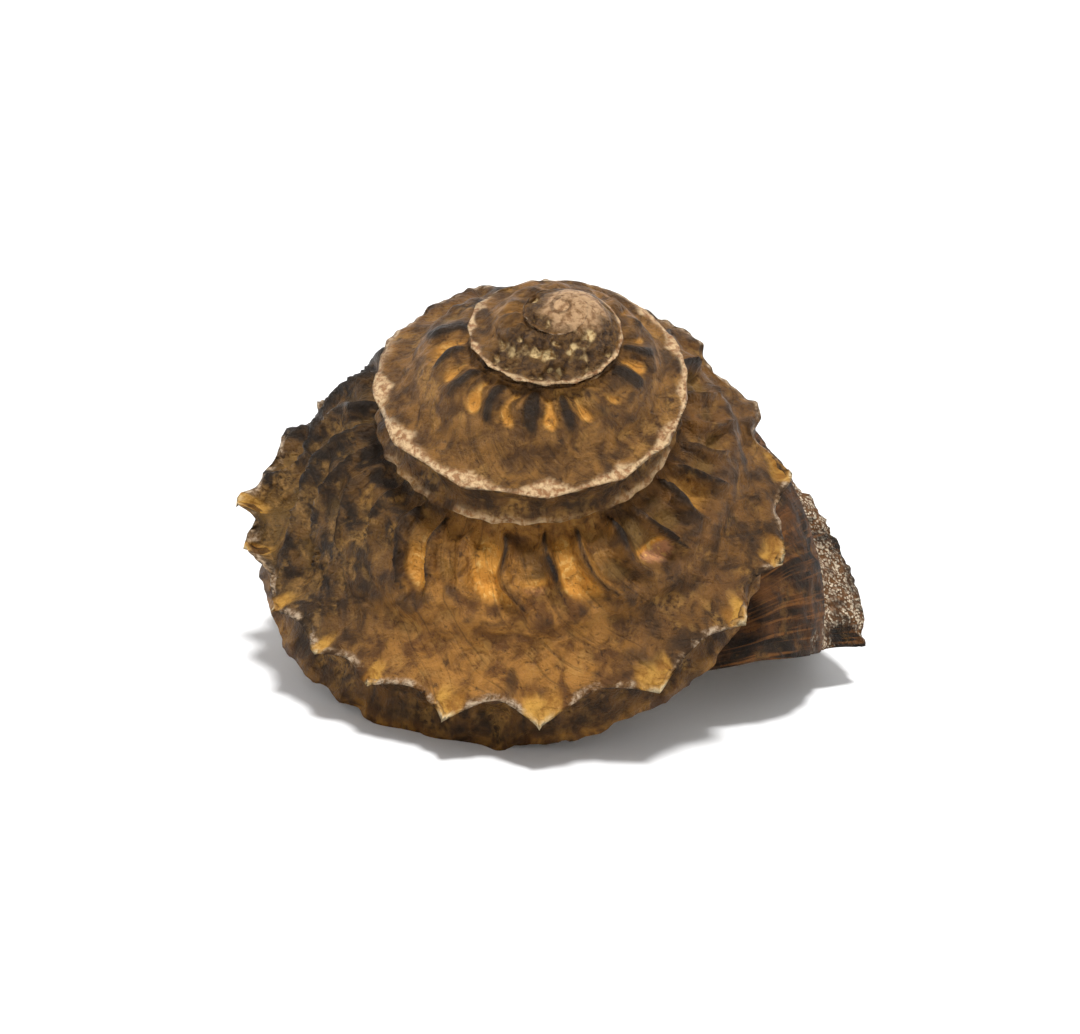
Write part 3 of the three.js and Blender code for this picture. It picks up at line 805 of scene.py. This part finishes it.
# %% The foot of the pillar
FOOT_POINT = np.array([0.6, 0.9, -21.8])  # mm
FOOT_RINGS = 7
FOOT_DRAWN_IN = 1.6  # power: small at first, then more and more
edge = number[base_row:, INNER]
edge_points = point_at(edge)
foot_rings = [edge]
for i in range(1, FOOT_RINGS):
    share = i / FOOT_RINGS
    inward = share**FOOT_DRAWN_IN
    downward = math.sin(share * math.pi / 2)
    flat = edge_points[:, :2] * (1 - inward) + FOOT_POINT[:2] * inward
    deep = edge_points[:, 2:] * (1 - downward) + FOOT_POINT[2] * downward
    foot_rings.append(add_points(np.concatenate([flat, deep], 1)))
    faces += join_rings(foot_rings[-2], foot_rings[-1], closed=False)
foot_number = int(add_points(FOOT_POINT[None, :])[0])
faces += [[int(p), int(q), foot_number] for p, q in zip(foot_rings[-1][:-1], foot_rings[-1][1:])]
print("lowest point of the foot, mm:", FOOT_POINT[2])

# %% [markdown]
# ## The mouth
# The mouth is a tube: it starts on the lip, goes back inside the last whorl for more than half a
# turn, thickens its wall as it goes, and ends in the dark. A modifier that gives the whole shell
# a thickness would push the inner wall through itself between the whorls. Here the outline of
# the lip is carried back along the coil instead, smaller and rounder with each ring, and it is
# pulled in most at the two thin corners of the keels.

# %% The mouth, ring by ring
MOUTH_BACK = 0.55 * TURN
MOUTH_RINGS = 30
LIP_SIZE, LIP_WALL, DEEP_WALL = 0.965, 0.115, 0.22  # shares of the outline
ROUNDED, ROUND_SIZE = 0.35, 0.97
CROWDING = 1.4  # power that keeps the first rings close to the lip
KEEL_PULL, KEEL_CORNER = 0.15, 0.22
LOWER_PULL, LOWER_CORNER = 0.05, 0.15
lip_edge = number[last_row, : INNER + 1]
foot_end = np.array([ring[-1] for ring in foot_rings[1:]])
foot_start = np.array([ring[0] for ring in foot_rings[1:]][::-1])
wall_edge = number[base_row, SEAM + 1 : INNER + 1][::-1]
mouth_loop = np.concatenate([lip_edge, foot_end, [foot_number], foot_start, wall_edge])
loop_points = point_at(mouth_loop)
pillar_share = np.linspace(0, 1, len(foot_end) + len(foot_start) + 3)[1:-1, None]


def raw_ring(back):
    """The mouth's outline, unscaled, at an angle back from the lip."""
    outside = section_point(ends - back, columns)
    inside = section_point(row_angles[base_row] - back, columns[SEAM + 1 :][::-1])
    pillar = outside[-1] * (1 - pillar_share) + inside[0] * pillar_share
    return np.concatenate([outside, pillar, inside])


corner_place = np.concatenate([columns, 0 * pillar_share[:, 0], columns[SEAM + 1 :][::-1]])
corner = KEEL_PULL * bell(corner_place, 1.0, KEEL_CORNER)
corner = corner + LOWER_PULL * bell(corner_place, 2.0, LOWER_CORNER)
straight = raw_ring(0.0)
bent = loop_points - straight
bent[: INNER + 1] = 0
ring = mouth_loop
mouth_numbers = []
for i in range(1, MOUTH_RINGS + 1):
    share = (i - 1) / (MOUTH_RINGS - 1)
    back = MOUTH_BACK * share**CROWDING
    outline = raw_ring(back) + bent * (1 - ramp(share, 0, 0.25))
    middle = outline.mean(0)
    scale = LIP_SIZE - LIP_WALL * ramp(share, 0, 0.16) - DEEP_WALL * ramp(share, 0.1, 1)
    scale = (scale - corner * ramp(share, -0.1, 0.1))[:, None]
    distance = np.linalg.norm(outline - middle, axis=1, keepdims=True)
    rounder = ROUNDED * ramp(share, 0, 0.15)
    evened = 1 - rounder + rounder * distance.mean() / distance * ROUND_SIZE
    outline = middle + (outline - middle) * scale * evened
    inner = add_points(outline)
    mouth_numbers.append(inner)
    faces += join_rings(ring, inner)
    ring = inner
deep_point = int(add_points(point_at(ring).mean(0)[None, :])[0])
faces += [[int(p), int(q), deep_point] for p, q in zip(ring, np.roll(ring, -1))]
print("faces in all:", len(faces))

# %% [markdown]
# ## The mesh
# A shell is one piece, so all points go into one mesh. Its faces could be numbered to point
# outwards from the start. Here they are turned afterwards, which is safe because the skin is
# closed, and the open edges are counted to show that it is.

# %% One closed mesh
all_points = laid_down(np.concatenate(points))
all_points[:, 2] = np.maximum(all_points[:, 2], 0)  # the worn flats that the shell rests on
mesh = bpy.data.meshes.new("turban_shell")
mesh.from_pydata(all_points.tolist(), [], faces)
mesh.update()
shell = bpy.data.objects.new("turban_shell", mesh)
bpy.context.scene.collection.objects.link(shell)
work = bmesh.new()
work.from_mesh(mesh)
open_edges = sum(1 for edge_here in work.edges if len(edge_here.link_faces) != 2)
bmesh.ops.recalc_face_normals(work, faces=work.faces)
volume = work.calc_volume(signed=True)
if volume < 0:
    bmesh.ops.reverse_faces(work, faces=work.faces)
work.to_mesh(mesh)
work.free()
mesh.polygons.foreach_set("use_smooth", np.ones(len(mesh.polygons), bool))
triangles = int(sum(len(face) - 2 for face in faces))
print("triangles:", triangles, "edges not between two faces:", open_edges)
print("volume, cm3:", round(abs(volume) * 1e6, 2))

# %% [markdown]
# ### Numbers for the finishes
# The colours of a real shell follow its growth and its wear. A texture could be painted, but it
# would need its own map of the surface. Each mask is kept as one number for each point instead,
# and the materials read it by name.

# %% The attributes that the finishes follow
def keep(name, values, tip=0.0, elsewhere=0.0):
    """Stores one number for each point: the grid's values, one for the tip, one for the rest."""
    data = np.full(len(all_points), elsewhere, np.float32)
    data[: own.sum()] = np.asarray(values, np.float32)[own]
    data[own.sum() : top_number + 1] = tip
    layer = mesh.attributes.new(name, "FLOAT", "POINT")
    layer.data.foreach_set("value", data)


CREAM_EDGES = [(-430, -400, -190, -150), (-790, -750, -530, -490)]  # degrees: start to end
GOLDEN_PART = (58, 80, 116, 134)  # degrees
LEFT_PART = (0.3, 0.41, 0.6, 0.72)  # turns
SPINY_FROM = (-70, -15)  # degrees
SCALLOP_EDGE = [(1.6, 0.045, 61), (0.8, 0.025, 62)]  # size in mm, weight, seed
turns = nominal / TURN
degrees = np.degrees(nominal)
ramp_share, side_share, on_ramp = sides(places)
base_share = np.clip(places - 2, 0, 1)
reach, near_tip = spine_at(angles)
ragged = mixed_noise(plain, SCALLOP_EDGE)
keel_band = np.where(on_ramp, ramp(ramp_share, 0.8, 0.96), 1 - ramp(side_share, 0.03, 0.15))
lower_band = np.where(places <= 2, ramp(side_share, 0.82, 0.97), 1 - ramp(base_share, 0.01, 0.06))
masks["dome"] = np.maximum(masks["dome"], 1 - ramp(turns, -2.9, -2.7))
for name, values in masks.items():
    at_tip = {"dome": 1.0, "lump": 0.5}.get(name, 0.0)
    keep(name, values, tip=at_tip, elsewhere=0.5 if name == "lump" else 0.0)
widest = 0.13 * reach / 0.035 - 0.01
scallop_band = ramp(ramp_share + ragged + widest, 0.93, 0.985)
scallop_band = np.where(on_ramp, scallop_band, 1 - ramp(side_share, 0.08, 0.25))
keep("scallop", scallop_band * sum(span(degrees, *edges) for edges in CREAM_EDGES))
keep("lower", lower_band * ramp(0.5 + 7 * ragged + 0.3 * lower_band, 0.2, 0.7))
keep("spine", keel_band * ramp(near_tip, 0.25, 0.85) * ramp(degrees, *SPINY_FROM))
tip_band = np.where(on_ramp, ramp(ramp_share, 0.93, 1), 1 - ramp(side_share, 0.02, 0.1))
keep("tip", tip_band * ramp(near_tip, 0.6, 0.95) * ramp(degrees, *SPINY_FROM))
keep("young", 1 - ramp(turns, -0.5, -0.38), tip=1.0)
keep("golden", span(degrees, *GOLDEN_PART) * on_ramp)
keep("side", np.where(on_ramp, 0.0, 1.0), elsewhere=1.0)
keep("base", ramp(base_share, 0.0, 0.12), elsewhere=1.0)
keep("left", span(turns, *LEFT_PART) * np.where(on_ramp, 1.0, 0.6))
keep("late", ramp(turns, 0.6, 0.76))
print("numbers kept for each point:", len(mesh.attributes))

# %% The length grown, carried on into the mouth
MOUTH_RING_STEP = 1.3  # mm of growth from ring to ring
grown_all = np.zeros(len(all_points), np.float32)
mesh.attributes["grown"].data.foreach_get("value", grown_all)
ring_steps = np.arange(len(mouth_numbers))[:, None] * MOUTH_RING_STEP
grown_all[np.array(mouth_numbers)] = grown_all[: own.sum()].max() - ring_steps
mesh.attributes["grown"].data.foreach_set("value", grown_all)
print("length grown at the lip, mm:", round(float(grown_all.max()), 1))

# %% [markdown]
# ## The finishes
# The outside is a weathered skin of browns: nearly black in the hollows, as painted shade,
# golden on the folds, cream where the keels are rubbed. The mouth is pearly. Each could be joined
# up by hand in the node editor, but a long finish is easier to read and to change as a list of
# steps, so a few small helpers come first.

# %% Small helpers for nodes
def new_group(name, inputs, outputs):
    """An empty node group with named number or colour sockets."""
    group = bpy.data.node_groups.new(name, "ShaderNodeTree")
    for label, kind, value in inputs:
        socket = group.interface.new_socket(name=label, in_out="INPUT", socket_type=kind)
        socket.default_value = value
    for label, kind in outputs:
        group.interface.new_socket(name=label, in_out="OUTPUT", socket_type=kind)
    return group


class Desk:
    """Places nodes in one tree and joins them, so that a material reads as a list of steps."""

    def __init__(self, tree):
        self.tree = tree

    def add(self, kind, **settings):
        """A node of one kind, with its plain settings."""
        node = self.tree.nodes.new(kind)
        for key, value in settings.items():
            setattr(node, key, value)
        return node

    def feed(self, socket, value):
        """Joins an output to a socket, or sets the socket to a plain value."""
        if isinstance(value, bpy.types.NodeSocket):
            self.tree.links.new(value, socket)
        else:
            socket.default_value = value

    def attribute(self, name):
        """One number kept in the mesh."""
        return self.add("ShaderNodeAttribute", attribute_name=name).outputs["Fac"]

    def math(self, work, *values):
        """One sum, product or other step on numbers."""
        node = self.add("ShaderNodeMath", operation=work)
        for socket, value in zip(node.inputs, values):
            self.feed(socket, value)
        return node.outputs[0]

    def stretch(self, value, low, high, out_low=0.0, out_high=1.0):
        """A number moved from one range to another, smoothly and kept inside it."""
        node = self.add("ShaderNodeMapRange", interpolation_type="SMOOTHSTEP")
        self.feed(node.inputs["Value"], value)
        limits = {"From Min": low, "From Max": high, "To Min": out_low, "To Max": out_high}
        for label, limit in limits.items():
            self.feed(node.inputs[label], limit)
        return node.outputs["Result"]

    def mix(self, share, first, second, blend="MIX"):
        """Two colours mixed by a share."""
        node = self.add("ShaderNodeMix", data_type="RGBA", blend_type=blend)
        self.feed(node.inputs["Factor"], share)
        self.feed(node.inputs["A"], first)
        self.feed(node.inputs["B"], second)
        return node.outputs["Result"]

    def grain(self, where, scale, detail=3.0, rough=0.55, warp=0.0):
        """Smooth noise over the object, as a number from 0 to 1."""
        node = self.add("ShaderNodeTexNoise")
        self.feed(node.inputs["Vector"], where)
        amounts = {"Scale": scale, "Detail": detail, "Roughness": rough, "Distortion": warp}
        for label, amount in amounts.items():
            self.feed(node.inputs[label], amount)
        return node.outputs["Fac"]


def paint(red, green, blue):
    """A colour from its red, green and blue on a screen, 0 to 255, as light values."""
    light = []
    for part in (red / 255, green / 255, blue / 255):
        light.append(part / 12.92 if part <= 0.04045 else ((part + 0.055) / 1.055) ** 2.4)
    return (*light, 1.0)


print("middle grey as light:", round(paint(128, 128, 128)[0], 3))

# %% [markdown]
# ### Growth streaks
# Fine streaks run from seam to keel, along each former lip. They show on the skin and, more
# faintly, in the mouth, so they are a node group that each material sets for itself. The noise
# is read on the unrolled shell and drawn out nine times as long as it is wide.

# %% The group of growth streaks
STREAK_LENGTH = 9.0  # times the width
streak_inputs = {"Grown": 0.0, "Across": 0.0, "Width": 0.5}
streaks_group = new_group(
    "Growth streaks",
    [(label, "NodeSocketFloat", value) for label, value in streak_inputs.items()],
    [("Streaks", "NodeSocketFloat")],
)
desk = Desk(streaks_group)
given = desk.add("NodeGroupInput")
along_line = desk.math("DIVIDE", given.outputs["Grown"], given.outputs["Width"])
long_way = desk.math("MULTIPLY", given.outputs["Width"], STREAK_LENGTH)
across_line = desk.math("DIVIDE", given.outputs["Across"], long_way)
joined = desk.add("ShaderNodeCombineXYZ")
desk.feed(joined.inputs["X"], along_line)
desk.feed(joined.inputs["Y"], across_line)
result = desk.add("NodeGroupOutput")
drawn_out = desk.grain(joined.outputs["Vector"], scale=1.0, detail=4.0, rough=0.6, warp=0.3)
desk.feed(result.inputs["Streaks"], drawn_out)


def streaks(width):
    """The growth streaks in the material on the desk, as wide as given, in mm."""
    node = desk.add("ShaderNodeGroup", node_tree=streaks_group)
    desk.feed(node.inputs["Grown"], desk.attribute("grown"))
    desk.feed(node.inputs["Across"], desk.attribute("across"))
    desk.feed(node.inputs["Width"], width)
    return node.outputs["Streaks"]


print("nodes in the streaks:", len(streaks_group.nodes))

# %% [markdown]
# ### The weathered skin
# A base of mottled browns is mixed step by step with what each part of the relief shows. One
# noise could colour all of it, but then colour and shape wouldn't belong together. The growth
# streaks darken and lighten it, since they run through the whole skin.

# %% The palette: single colours of the skin
TAN_PATCH, RUST, LATE_PAINTED_SHADE = paint(118, 82, 46), paint(122, 80, 42), paint(20, 14, 9)
HOLLOW_PAINTED_SHADE, FLECK_GOLD = paint(40, 26, 13), paint(172, 132, 76)
GREENISH_CREST, GOLDEN_CREST = paint(126, 98, 56), paint(222, 160, 76)
PINKISH_CREST, CREST_GLINT = paint(198, 144, 112), paint(250, 208, 134)
CREST_STAIN = paint(100, 70, 36)
GROOVE_PAINTED_SHADE, STREAK_BROWN, SPECK_BROWN = paint(28, 18, 8), paint(32, 22, 13), paint(24, 17, 10)
OLD_STAIN = (0.97, 0.9, 0.7, 1.0)  # light let through, red, green and blue
print("golden crest as light:", [round(part, 3) for part in GOLDEN_CREST[:3]])

# %% The weathered skin: its noises
skin = bpy.data.materials.new("weathered_shell_skin")
skin.use_nodes = True
desk = Desk(skin.node_tree)
skin_shader = skin.node_tree.nodes["Principled BSDF"]
skin_shader.inputs["Specular IOR Level"].default_value = 0.22
spot = desk.add("ShaderNodeTexCoord").outputs["Object"]
mottle = desk.grain(spot, scale=620.0, detail=5.0, rough=0.62, warp=0.5)
speck = desk.grain(spot, scale=2300.0, detail=4.0, rough=0.65, warp=0.3)
patch = desk.grain(spot, scale=220.0, detail=4.0, rough=0.55, warp=0.8)
cells = desk.add("ShaderNodeTexVoronoi")
desk.feed(cells.inputs["Vector"], spot)
cells.inputs["Scale"].default_value = 3300.0
granule = desk.stretch(cells.outputs["Distance"], 0.62, 0.2)
lump = desk.attribute("lump")
streak = streaks(0.55)


def lay(under, over, *shares):
    """One colour laid over another, as thickly as all the given shares together."""
    share = shares[0]
    for more in shares[1:]:
        share = desk.math("MULTIPLY", share, more)
    return desk.mix(share, under, over)


def two(value, low, high, first, second):
    """From one screen colour to another as a number rises from low to high."""
    return desk.mix(desk.stretch(value, low, high), paint(*first), paint(*second))


print("nodes for the noises:", len(skin.node_tree.nodes))

# %% [markdown]
# #### The ground colour
# Each stretch of the coil has its own ground: golden in front, dark brown at the left, darkened
# nearly to black before the lip as painted shade, with rust streaks, lighter on the young whorls,
# streaked on the base. The kept masks say where. Between the lumps it is darker, as painted
# shade, and on their tops it is lighter.

# %% The weathered skin: its ground colour
colour = two(mottle, 0.36, 0.64, (58, 39, 19), (112, 78, 38))
colour = lay(colour, TAN_PATCH, desk.stretch(patch, 0.5, 0.66), 0.5)
golden = two(mottle, 0.36, 0.62, (104, 68, 31), (168, 120, 60))
colour = lay(colour, golden, desk.attribute("golden"), 0.8)
# painted shade: the ground before the lip is dark brown to nearly black, with rust streaks over it
late_ground_and_painted_shade = two(patch, 0.44, 0.62, (12, 8, 4), (82, 52, 26))
late_ground_and_painted_shade = lay(late_ground_and_painted_shade, RUST, desk.stretch(streak, 0.5, 0.64), 0.65)
late_ground_and_painted_shade = lay(late_ground_and_painted_shade, LATE_PAINTED_SHADE, desk.stretch(mottle, 0.5, 0.62), 0.7)
colour = lay(colour, late_ground_and_painted_shade, desk.attribute("late"), 0.95)
left_ground = two(mottle, 0.42, 0.64, (26, 18, 9), (94, 68, 36))
colour = lay(colour, left_ground, desk.attribute("left"), 0.85)
young_ground = two(mottle, 0.36, 0.64, (78, 53, 27), (136, 98, 52))
colour = lay(colour, young_ground, desk.attribute("young"), 0.85)
side_ground = two(mottle, 0.38, 0.64, (48, 33, 17), (98, 68, 34))
colour = lay(colour, side_ground, desk.attribute("side"), 0.9)
base_ground = two(streak, 0.4, 0.62, (86, 60, 34), (150, 118, 78))
colour = lay(colour, base_ground, desk.attribute("base"), 0.8)
# painted shade: darker in the hollows between the lumps
colour = lay(colour, HOLLOW_PAINTED_SHADE, desk.stretch(lump, 0.4, 0.08), 0.65)
less_late = desk.stretch(desk.attribute("late"), 0.0, 1.0, 0.5, 0.15)
fleck = desk.math("MULTIPLY", desk.stretch(speck, 0.4, 0.58), less_late)
colour = lay(colour, FLECK_GOLD, desk.stretch(lump, 0.6, 0.95), fleck)
print("nodes with the ground:", len(skin.node_tree.nodes))

# %% [markdown]
# #### Folds and grooves
# The grooves are painted nearly black, as painted shade, and the crests are rubbed bright, with
# painted highlights on the warmer ones. Their colour goes with the warmth of each fold, from
# greenish through golden to pinkish, so neighbours differ as on the real one.

# %% The weathered skin: folds, grooves and beads
warmth = desk.attribute("warmth")
crest = desk.mix(desk.stretch(warmth, 0.22, 0.5), GREENISH_CREST, GOLDEN_CREST)
crest = desk.mix(desk.stretch(warmth, 0.55, 0.8), crest, PINKISH_CREST)
crest = lay(crest, CREST_STAIN, desk.stretch(mottle, 0.54, 0.66), 0.6)
# painted highlight: pale glints on the warmer crests
glint = desk.stretch(speck, 0.52, 0.66)
crest = lay(crest, CREST_GLINT, glint, desk.stretch(warmth, 0.3, 0.5), 0.75)
fold_here = desk.attribute("fold")
quiet = desk.stretch(desk.attribute("left"), 0.0, 1.0, 0.85, 0.5)
colour = lay(colour, crest, desk.stretch(fold_here, 0.4, 1.0), quiet)
# painted shade: the grooves between the folds are made nearly black
colour = lay(colour, GROOVE_PAINTED_SHADE, desk.stretch(desk.attribute("groove"), 0.1, 0.65), 0.92)
bead_light = two(speck, 0.4, 0.62, (98, 74, 42), (156, 120, 74))
colour = lay(colour, bead_light, desk.stretch(desk.attribute("beads"), 0.3, 0.8), 0.6)
colour = lay(colour, STREAK_BROWN, desk.stretch(streak, 0.45, 0.33), 0.4)
colour = lay(colour, SPECK_BROWN, desk.stretch(speck, 0.42, 0.3), 0.6)
print("nodes with the folds:", len(skin.node_tree.nodes))

# %% [markdown]
# #### Keels, tip and crust
# The parts that stick out are worn the palest: cream on the young keels, yellow on the spines,
# whitish on their points. The knobs at the tip are pale on brown, as painted highlights, and the
# grains of the crust are pale on brown. A thin brown stain over everything comes last, as years
# in the sea would leave it.

# %% The weathered skin: keels, spines, the worn tip and the crust
ochre = two(mottle, 0.4, 0.62, (98, 64, 26), (170, 124, 58))
colour = lay(colour, ochre, desk.attribute("lower"), desk.stretch(patch, 0.38, 0.58, 0.25, 0.85))
cream = two(speck, 0.38, 0.6, (158, 118, 88), (222, 196, 168))
young_lower = desk.math("MULTIPLY", desk.attribute("lower"), desk.attribute("young"))
colour = lay(colour, cream, young_lower, desk.stretch(patch, 0.44, 0.6), 0.85)
pale_rim = two(speck, 0.4, 0.62, (112, 88, 66), (190, 172, 160))
rim_here = desk.stretch(desk.attribute("rim"), 0.3, 0.9)
colour = lay(colour, pale_rim, rim_here, desk.stretch(mottle, 0.4, 0.58))
colour = lay(colour, cream, desk.attribute("scallop"), 0.9)
yellow = two(mottle, 0.38, 0.6, (148, 102, 40), (206, 160, 80))
colour = lay(colour, yellow, desk.stretch(desk.attribute("spine"), 0.35, 0.9), 0.8)
whitish = two(speck, 0.36, 0.58, (186, 160, 116), (228, 214, 190))
colour = lay(colour, whitish, desk.stretch(desk.attribute("tip"), 0.3, 0.8), 0.85)
worn_ground = two(speck, 0.4, 0.62, (52, 36, 22), (100, 74, 44))
colour = lay(colour, worn_ground, desk.attribute("granular"), 0.85)
# painted highlight: the knobs of the worn tip pale on the dark brown
knob_painted_highlight = two(speck, 0.4, 0.6, (140, 110, 72), (216, 194, 156))
colour = lay(colour, knob_painted_highlight, desk.stretch(desk.attribute("knobs"), 0.22, 0.75))
dome_pale = two(speck, 0.36, 0.6, (136, 102, 74), (196, 164, 136))
colour = lay(colour, dome_pale, desk.attribute("dome"), 0.9)
uneven = desk.math("MULTIPLY_ADD", speck, 1.4, desk.math("MULTIPLY", granule, 0.5))
crust_grain = two(uneven, 0.72, 1.06, (104, 74, 50), (236, 222, 214))
crust_here = desk.math("MULTIPLY", desk.attribute("crust"), desk.stretch(patch, 0.34, 0.56))
more_on_grains = desk.stretch(desk.attribute("grains"), 0.3, 0.62, 0.6, 1.0)
colour = lay(colour, crust_grain, crust_here, more_on_grains)
colour = desk.mix(1.0, colour, OLD_STAIN, "MULTIPLY")
desk.feed(skin_shader.inputs["Base Color"], colour)
print("nodes of the whole colour:", len(skin.node_tree.nodes))

# %% [markdown]
# #### Gloss and fine bumps
# The skin is a little glossier on its light patches, and dull near the lip. What is finer than
# the mesh, such as streaks, mottling and single grains, could only be had with millions of faces,
# so it is left to a bump of about a third of a millimetre.

# %% The weathered skin: gloss and fine bumps
gloss = desk.stretch(mottle, 0.3, 0.7, 0.56, 0.4)
rough = desk.math("ADD", gloss, desk.math("MULTIPLY", desk.attribute("late"), 0.3))
desk.feed(skin_shader.inputs["Roughness"], rough)
bump = desk.add("ShaderNodeBump")
bump.inputs["Strength"].default_value = 0.9
bump.inputs["Distance"].default_value = 0.00036  # metres
relief = desk.math("ADD", desk.math("MULTIPLY", streak, 0.7), desk.math("MULTIPLY", mottle, 1.8))
relief = desk.math("ADD", relief, desk.math("MULTIPLY", speck, 0.9))
relief = desk.math("ADD", relief, desk.math("MULTIPLY", granule, desk.attribute("crust")))
desk.feed(bump.inputs["Height"], relief)
desk.feed(skin_shader.inputs["Normal"], bump.outputs["Normal"])
mesh.materials.append(skin)
print("nodes of the skin:", len(skin.node_tree.nodes))

# %% [markdown]
# ### The pearly mouth
# The inside of such shells is smooth and pale. A film that changes its colour with the view
# would be lost in an exported model, so clouds of two pale tones, a clear coat and the same
# growth streaks, much weaker, stand for the pearl.

# %% The pearly mouth
pearl = bpy.data.materials.new("pearly_mouth")
pearl.use_nodes = True
desk = Desk(pearl.node_tree)
pearl_shader = pearl.node_tree.nodes["Principled BSDF"]
PEARL_GREY, PEARL_CREAM = paint(214, 204, 190), paint(232, 222, 212)
PEARL_LINE = paint(196, 176, 156)
spot = desk.add("ShaderNodeTexCoord").outputs["Object"]
cloud = desk.grain(spot, scale=120.0, detail=3.0, rough=0.5, warp=0.8)
pearl_colour = desk.mix(desk.stretch(cloud, 0.35, 0.65), PEARL_GREY, PEARL_CREAM)
faint = desk.math("MULTIPLY", desk.stretch(streaks(1.4), 0.45, 0.65), 0.3)
pearl_colour = desk.mix(faint, pearl_colour, PEARL_LINE)
desk.feed(pearl_shader.inputs["Base Color"], pearl_colour)
desk.feed(pearl_shader.inputs["Roughness"], desk.stretch(cloud, 0.3, 0.7, 0.18, 0.3))
pearl_shader.inputs["Coat Weight"].default_value = 0.5
mesh.materials.append(pearl)
print("materials of the shell:", [material.name for material in mesh.materials])

# %% Which faces are the mouth's
mouth_mask = np.zeros(len(all_points), np.float32)
mouth_mask[np.concatenate(mouth_numbers)] = 1
mouth_mask[deep_point] = 1
corner_vertex = np.zeros(len(mesh.loops), int)
mesh.loops.foreach_get("vertex_index", corner_vertex)
starts = np.zeros(len(mesh.polygons), int)
mesh.polygons.foreach_get("loop_start", starts)
in_mouth = np.minimum.reduceat(mouth_mask[corner_vertex], starts) > 0.5
mesh.polygons.foreach_set("material_index", in_mouth.astype(int))
print("faces of the mouth:", int(in_mouth.sum()))

# %% [markdown]
# ## The floor
# The photograph has a plain white ground. A flat floor would end in a line when the shell is
# seen from low down, so a pale profile is spun round the shell: flat near it, and turning up
# smoothly far behind.

# %% The floor
FLOOR_FLAT = 1.0  # metres
FLOOR_BEND = 1.5  # metres
FLOOR_TOP = 4.0  # metres
FLOOR_SIDES = 64
flat_r = FLOOR_FLAT * np.linspace(0, 1, 24)[1:]
bend = np.linspace(0, math.pi / 2, 16)[1:]
bend_r, bend_z = FLOOR_FLAT + FLOOR_BEND * np.sin(bend), FLOOR_BEND * (1 - np.cos(bend))
floor_r = np.concatenate([flat_r, bend_r, [FLOOR_FLAT + FLOOR_BEND]])
floor_z = np.concatenate([0 * flat_r, bend_z, [FLOOR_TOP]])
floor_turn = np.linspace(0, TURN, FLOOR_SIDES, endpoint=False)
floor_grid = np.stack([
    floor_r[:, None] * np.cos(floor_turn),
    floor_r[:, None] * np.sin(floor_turn),
    np.broadcast_to(floor_z[:, None], (len(floor_r), FLOOR_SIDES)),
], -1)
floor_index = np.arange(len(floor_r) * FLOOR_SIDES).reshape(len(floor_r), FLOOR_SIDES)
p, q = floor_index[:-1], floor_index[1:]
floor_faces = np.stack([p, q, np.roll(q, -1, 1), np.roll(p, -1, 1)], -1).reshape(-1, 4).tolist()
floor_faces.append(floor_index[0].tolist())
floor_mesh = bpy.data.meshes.new("pale_floor")
floor_mesh.from_pydata(floor_grid.reshape(-1, 3).tolist(), [], floor_faces)
floor_mesh.polygons.foreach_set("use_smooth", np.ones(len(floor_mesh.polygons), bool))
floor = bpy.data.objects.new("pale_floor", floor_mesh)
bpy.context.scene.collection.objects.link(floor)
paper = bpy.data.materials.new("pale_paper")
paper.use_nodes = True
desk = Desk(paper.node_tree)
paper_shader = paper.node_tree.nodes["Principled BSDF"]
spot = desk.add("ShaderNodeTexCoord").outputs["Object"]
paper_tone = desk.grain(spot, scale=6.0, detail=2.0)
paper_colour = desk.mix(paper_tone, (0.86, 0.86, 0.86, 1), (0.9, 0.9, 0.9, 1))
desk.feed(paper_shader.inputs["Base Color"], paper_colour)
paper_shader.inputs["Roughness"].default_value = 0.9
floor_mesh.materials.append(paper)
print("floor, metres across:", 2 * (FLOOR_FLAT + FLOOR_BEND))

# %% [markdown]
# ## The light
# The photograph has soft light. Area lamps near the shell would leave bright patches of their own
# on the floor, and wide suns light the floor, its bend and the shell alike. The main one shines
# from above and a little from the front, and a weak, very wide one fills the left.

# %% The light
WORLD_LIGHT = 0.5
world = bpy.data.worlds.new("pale_room")
world.use_nodes = True
sky = world.node_tree.nodes["Background"]
sky.inputs["Color"].default_value = (1, 1, 1, 1)
sky.inputs["Strength"].default_value = WORLD_LIGHT
bpy.context.scene.world = world


def soft_sun(name, toward, strength, spread):
    """A wide sun in a direction from the shell, as strong and as many degrees wide as given."""
    lamp = bpy.data.lights.new(name, "SUN")
    lamp.energy = strength
    lamp.angle = math.radians(spread)
    holder = bpy.data.objects.new(name, lamp)
    bpy.context.scene.collection.objects.link(holder)
    holder.matrix_world = Vector(toward).to_track_quat("Z", "Y").to_matrix().to_4x4()


soft_sun("key_light", toward=(0.02, -0.34, 0.94), strength=3.1, spread=9)
soft_sun("fill_light", toward=(-0.5, -0.8, 0.35), strength=0.5, spread=60)
bpy.context.scene.view_settings.view_transform = "Standard"
print("lights:", len(bpy.data.lights))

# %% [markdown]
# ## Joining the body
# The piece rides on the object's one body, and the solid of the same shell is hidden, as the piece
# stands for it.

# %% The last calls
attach(shell, "root")
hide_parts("shell")
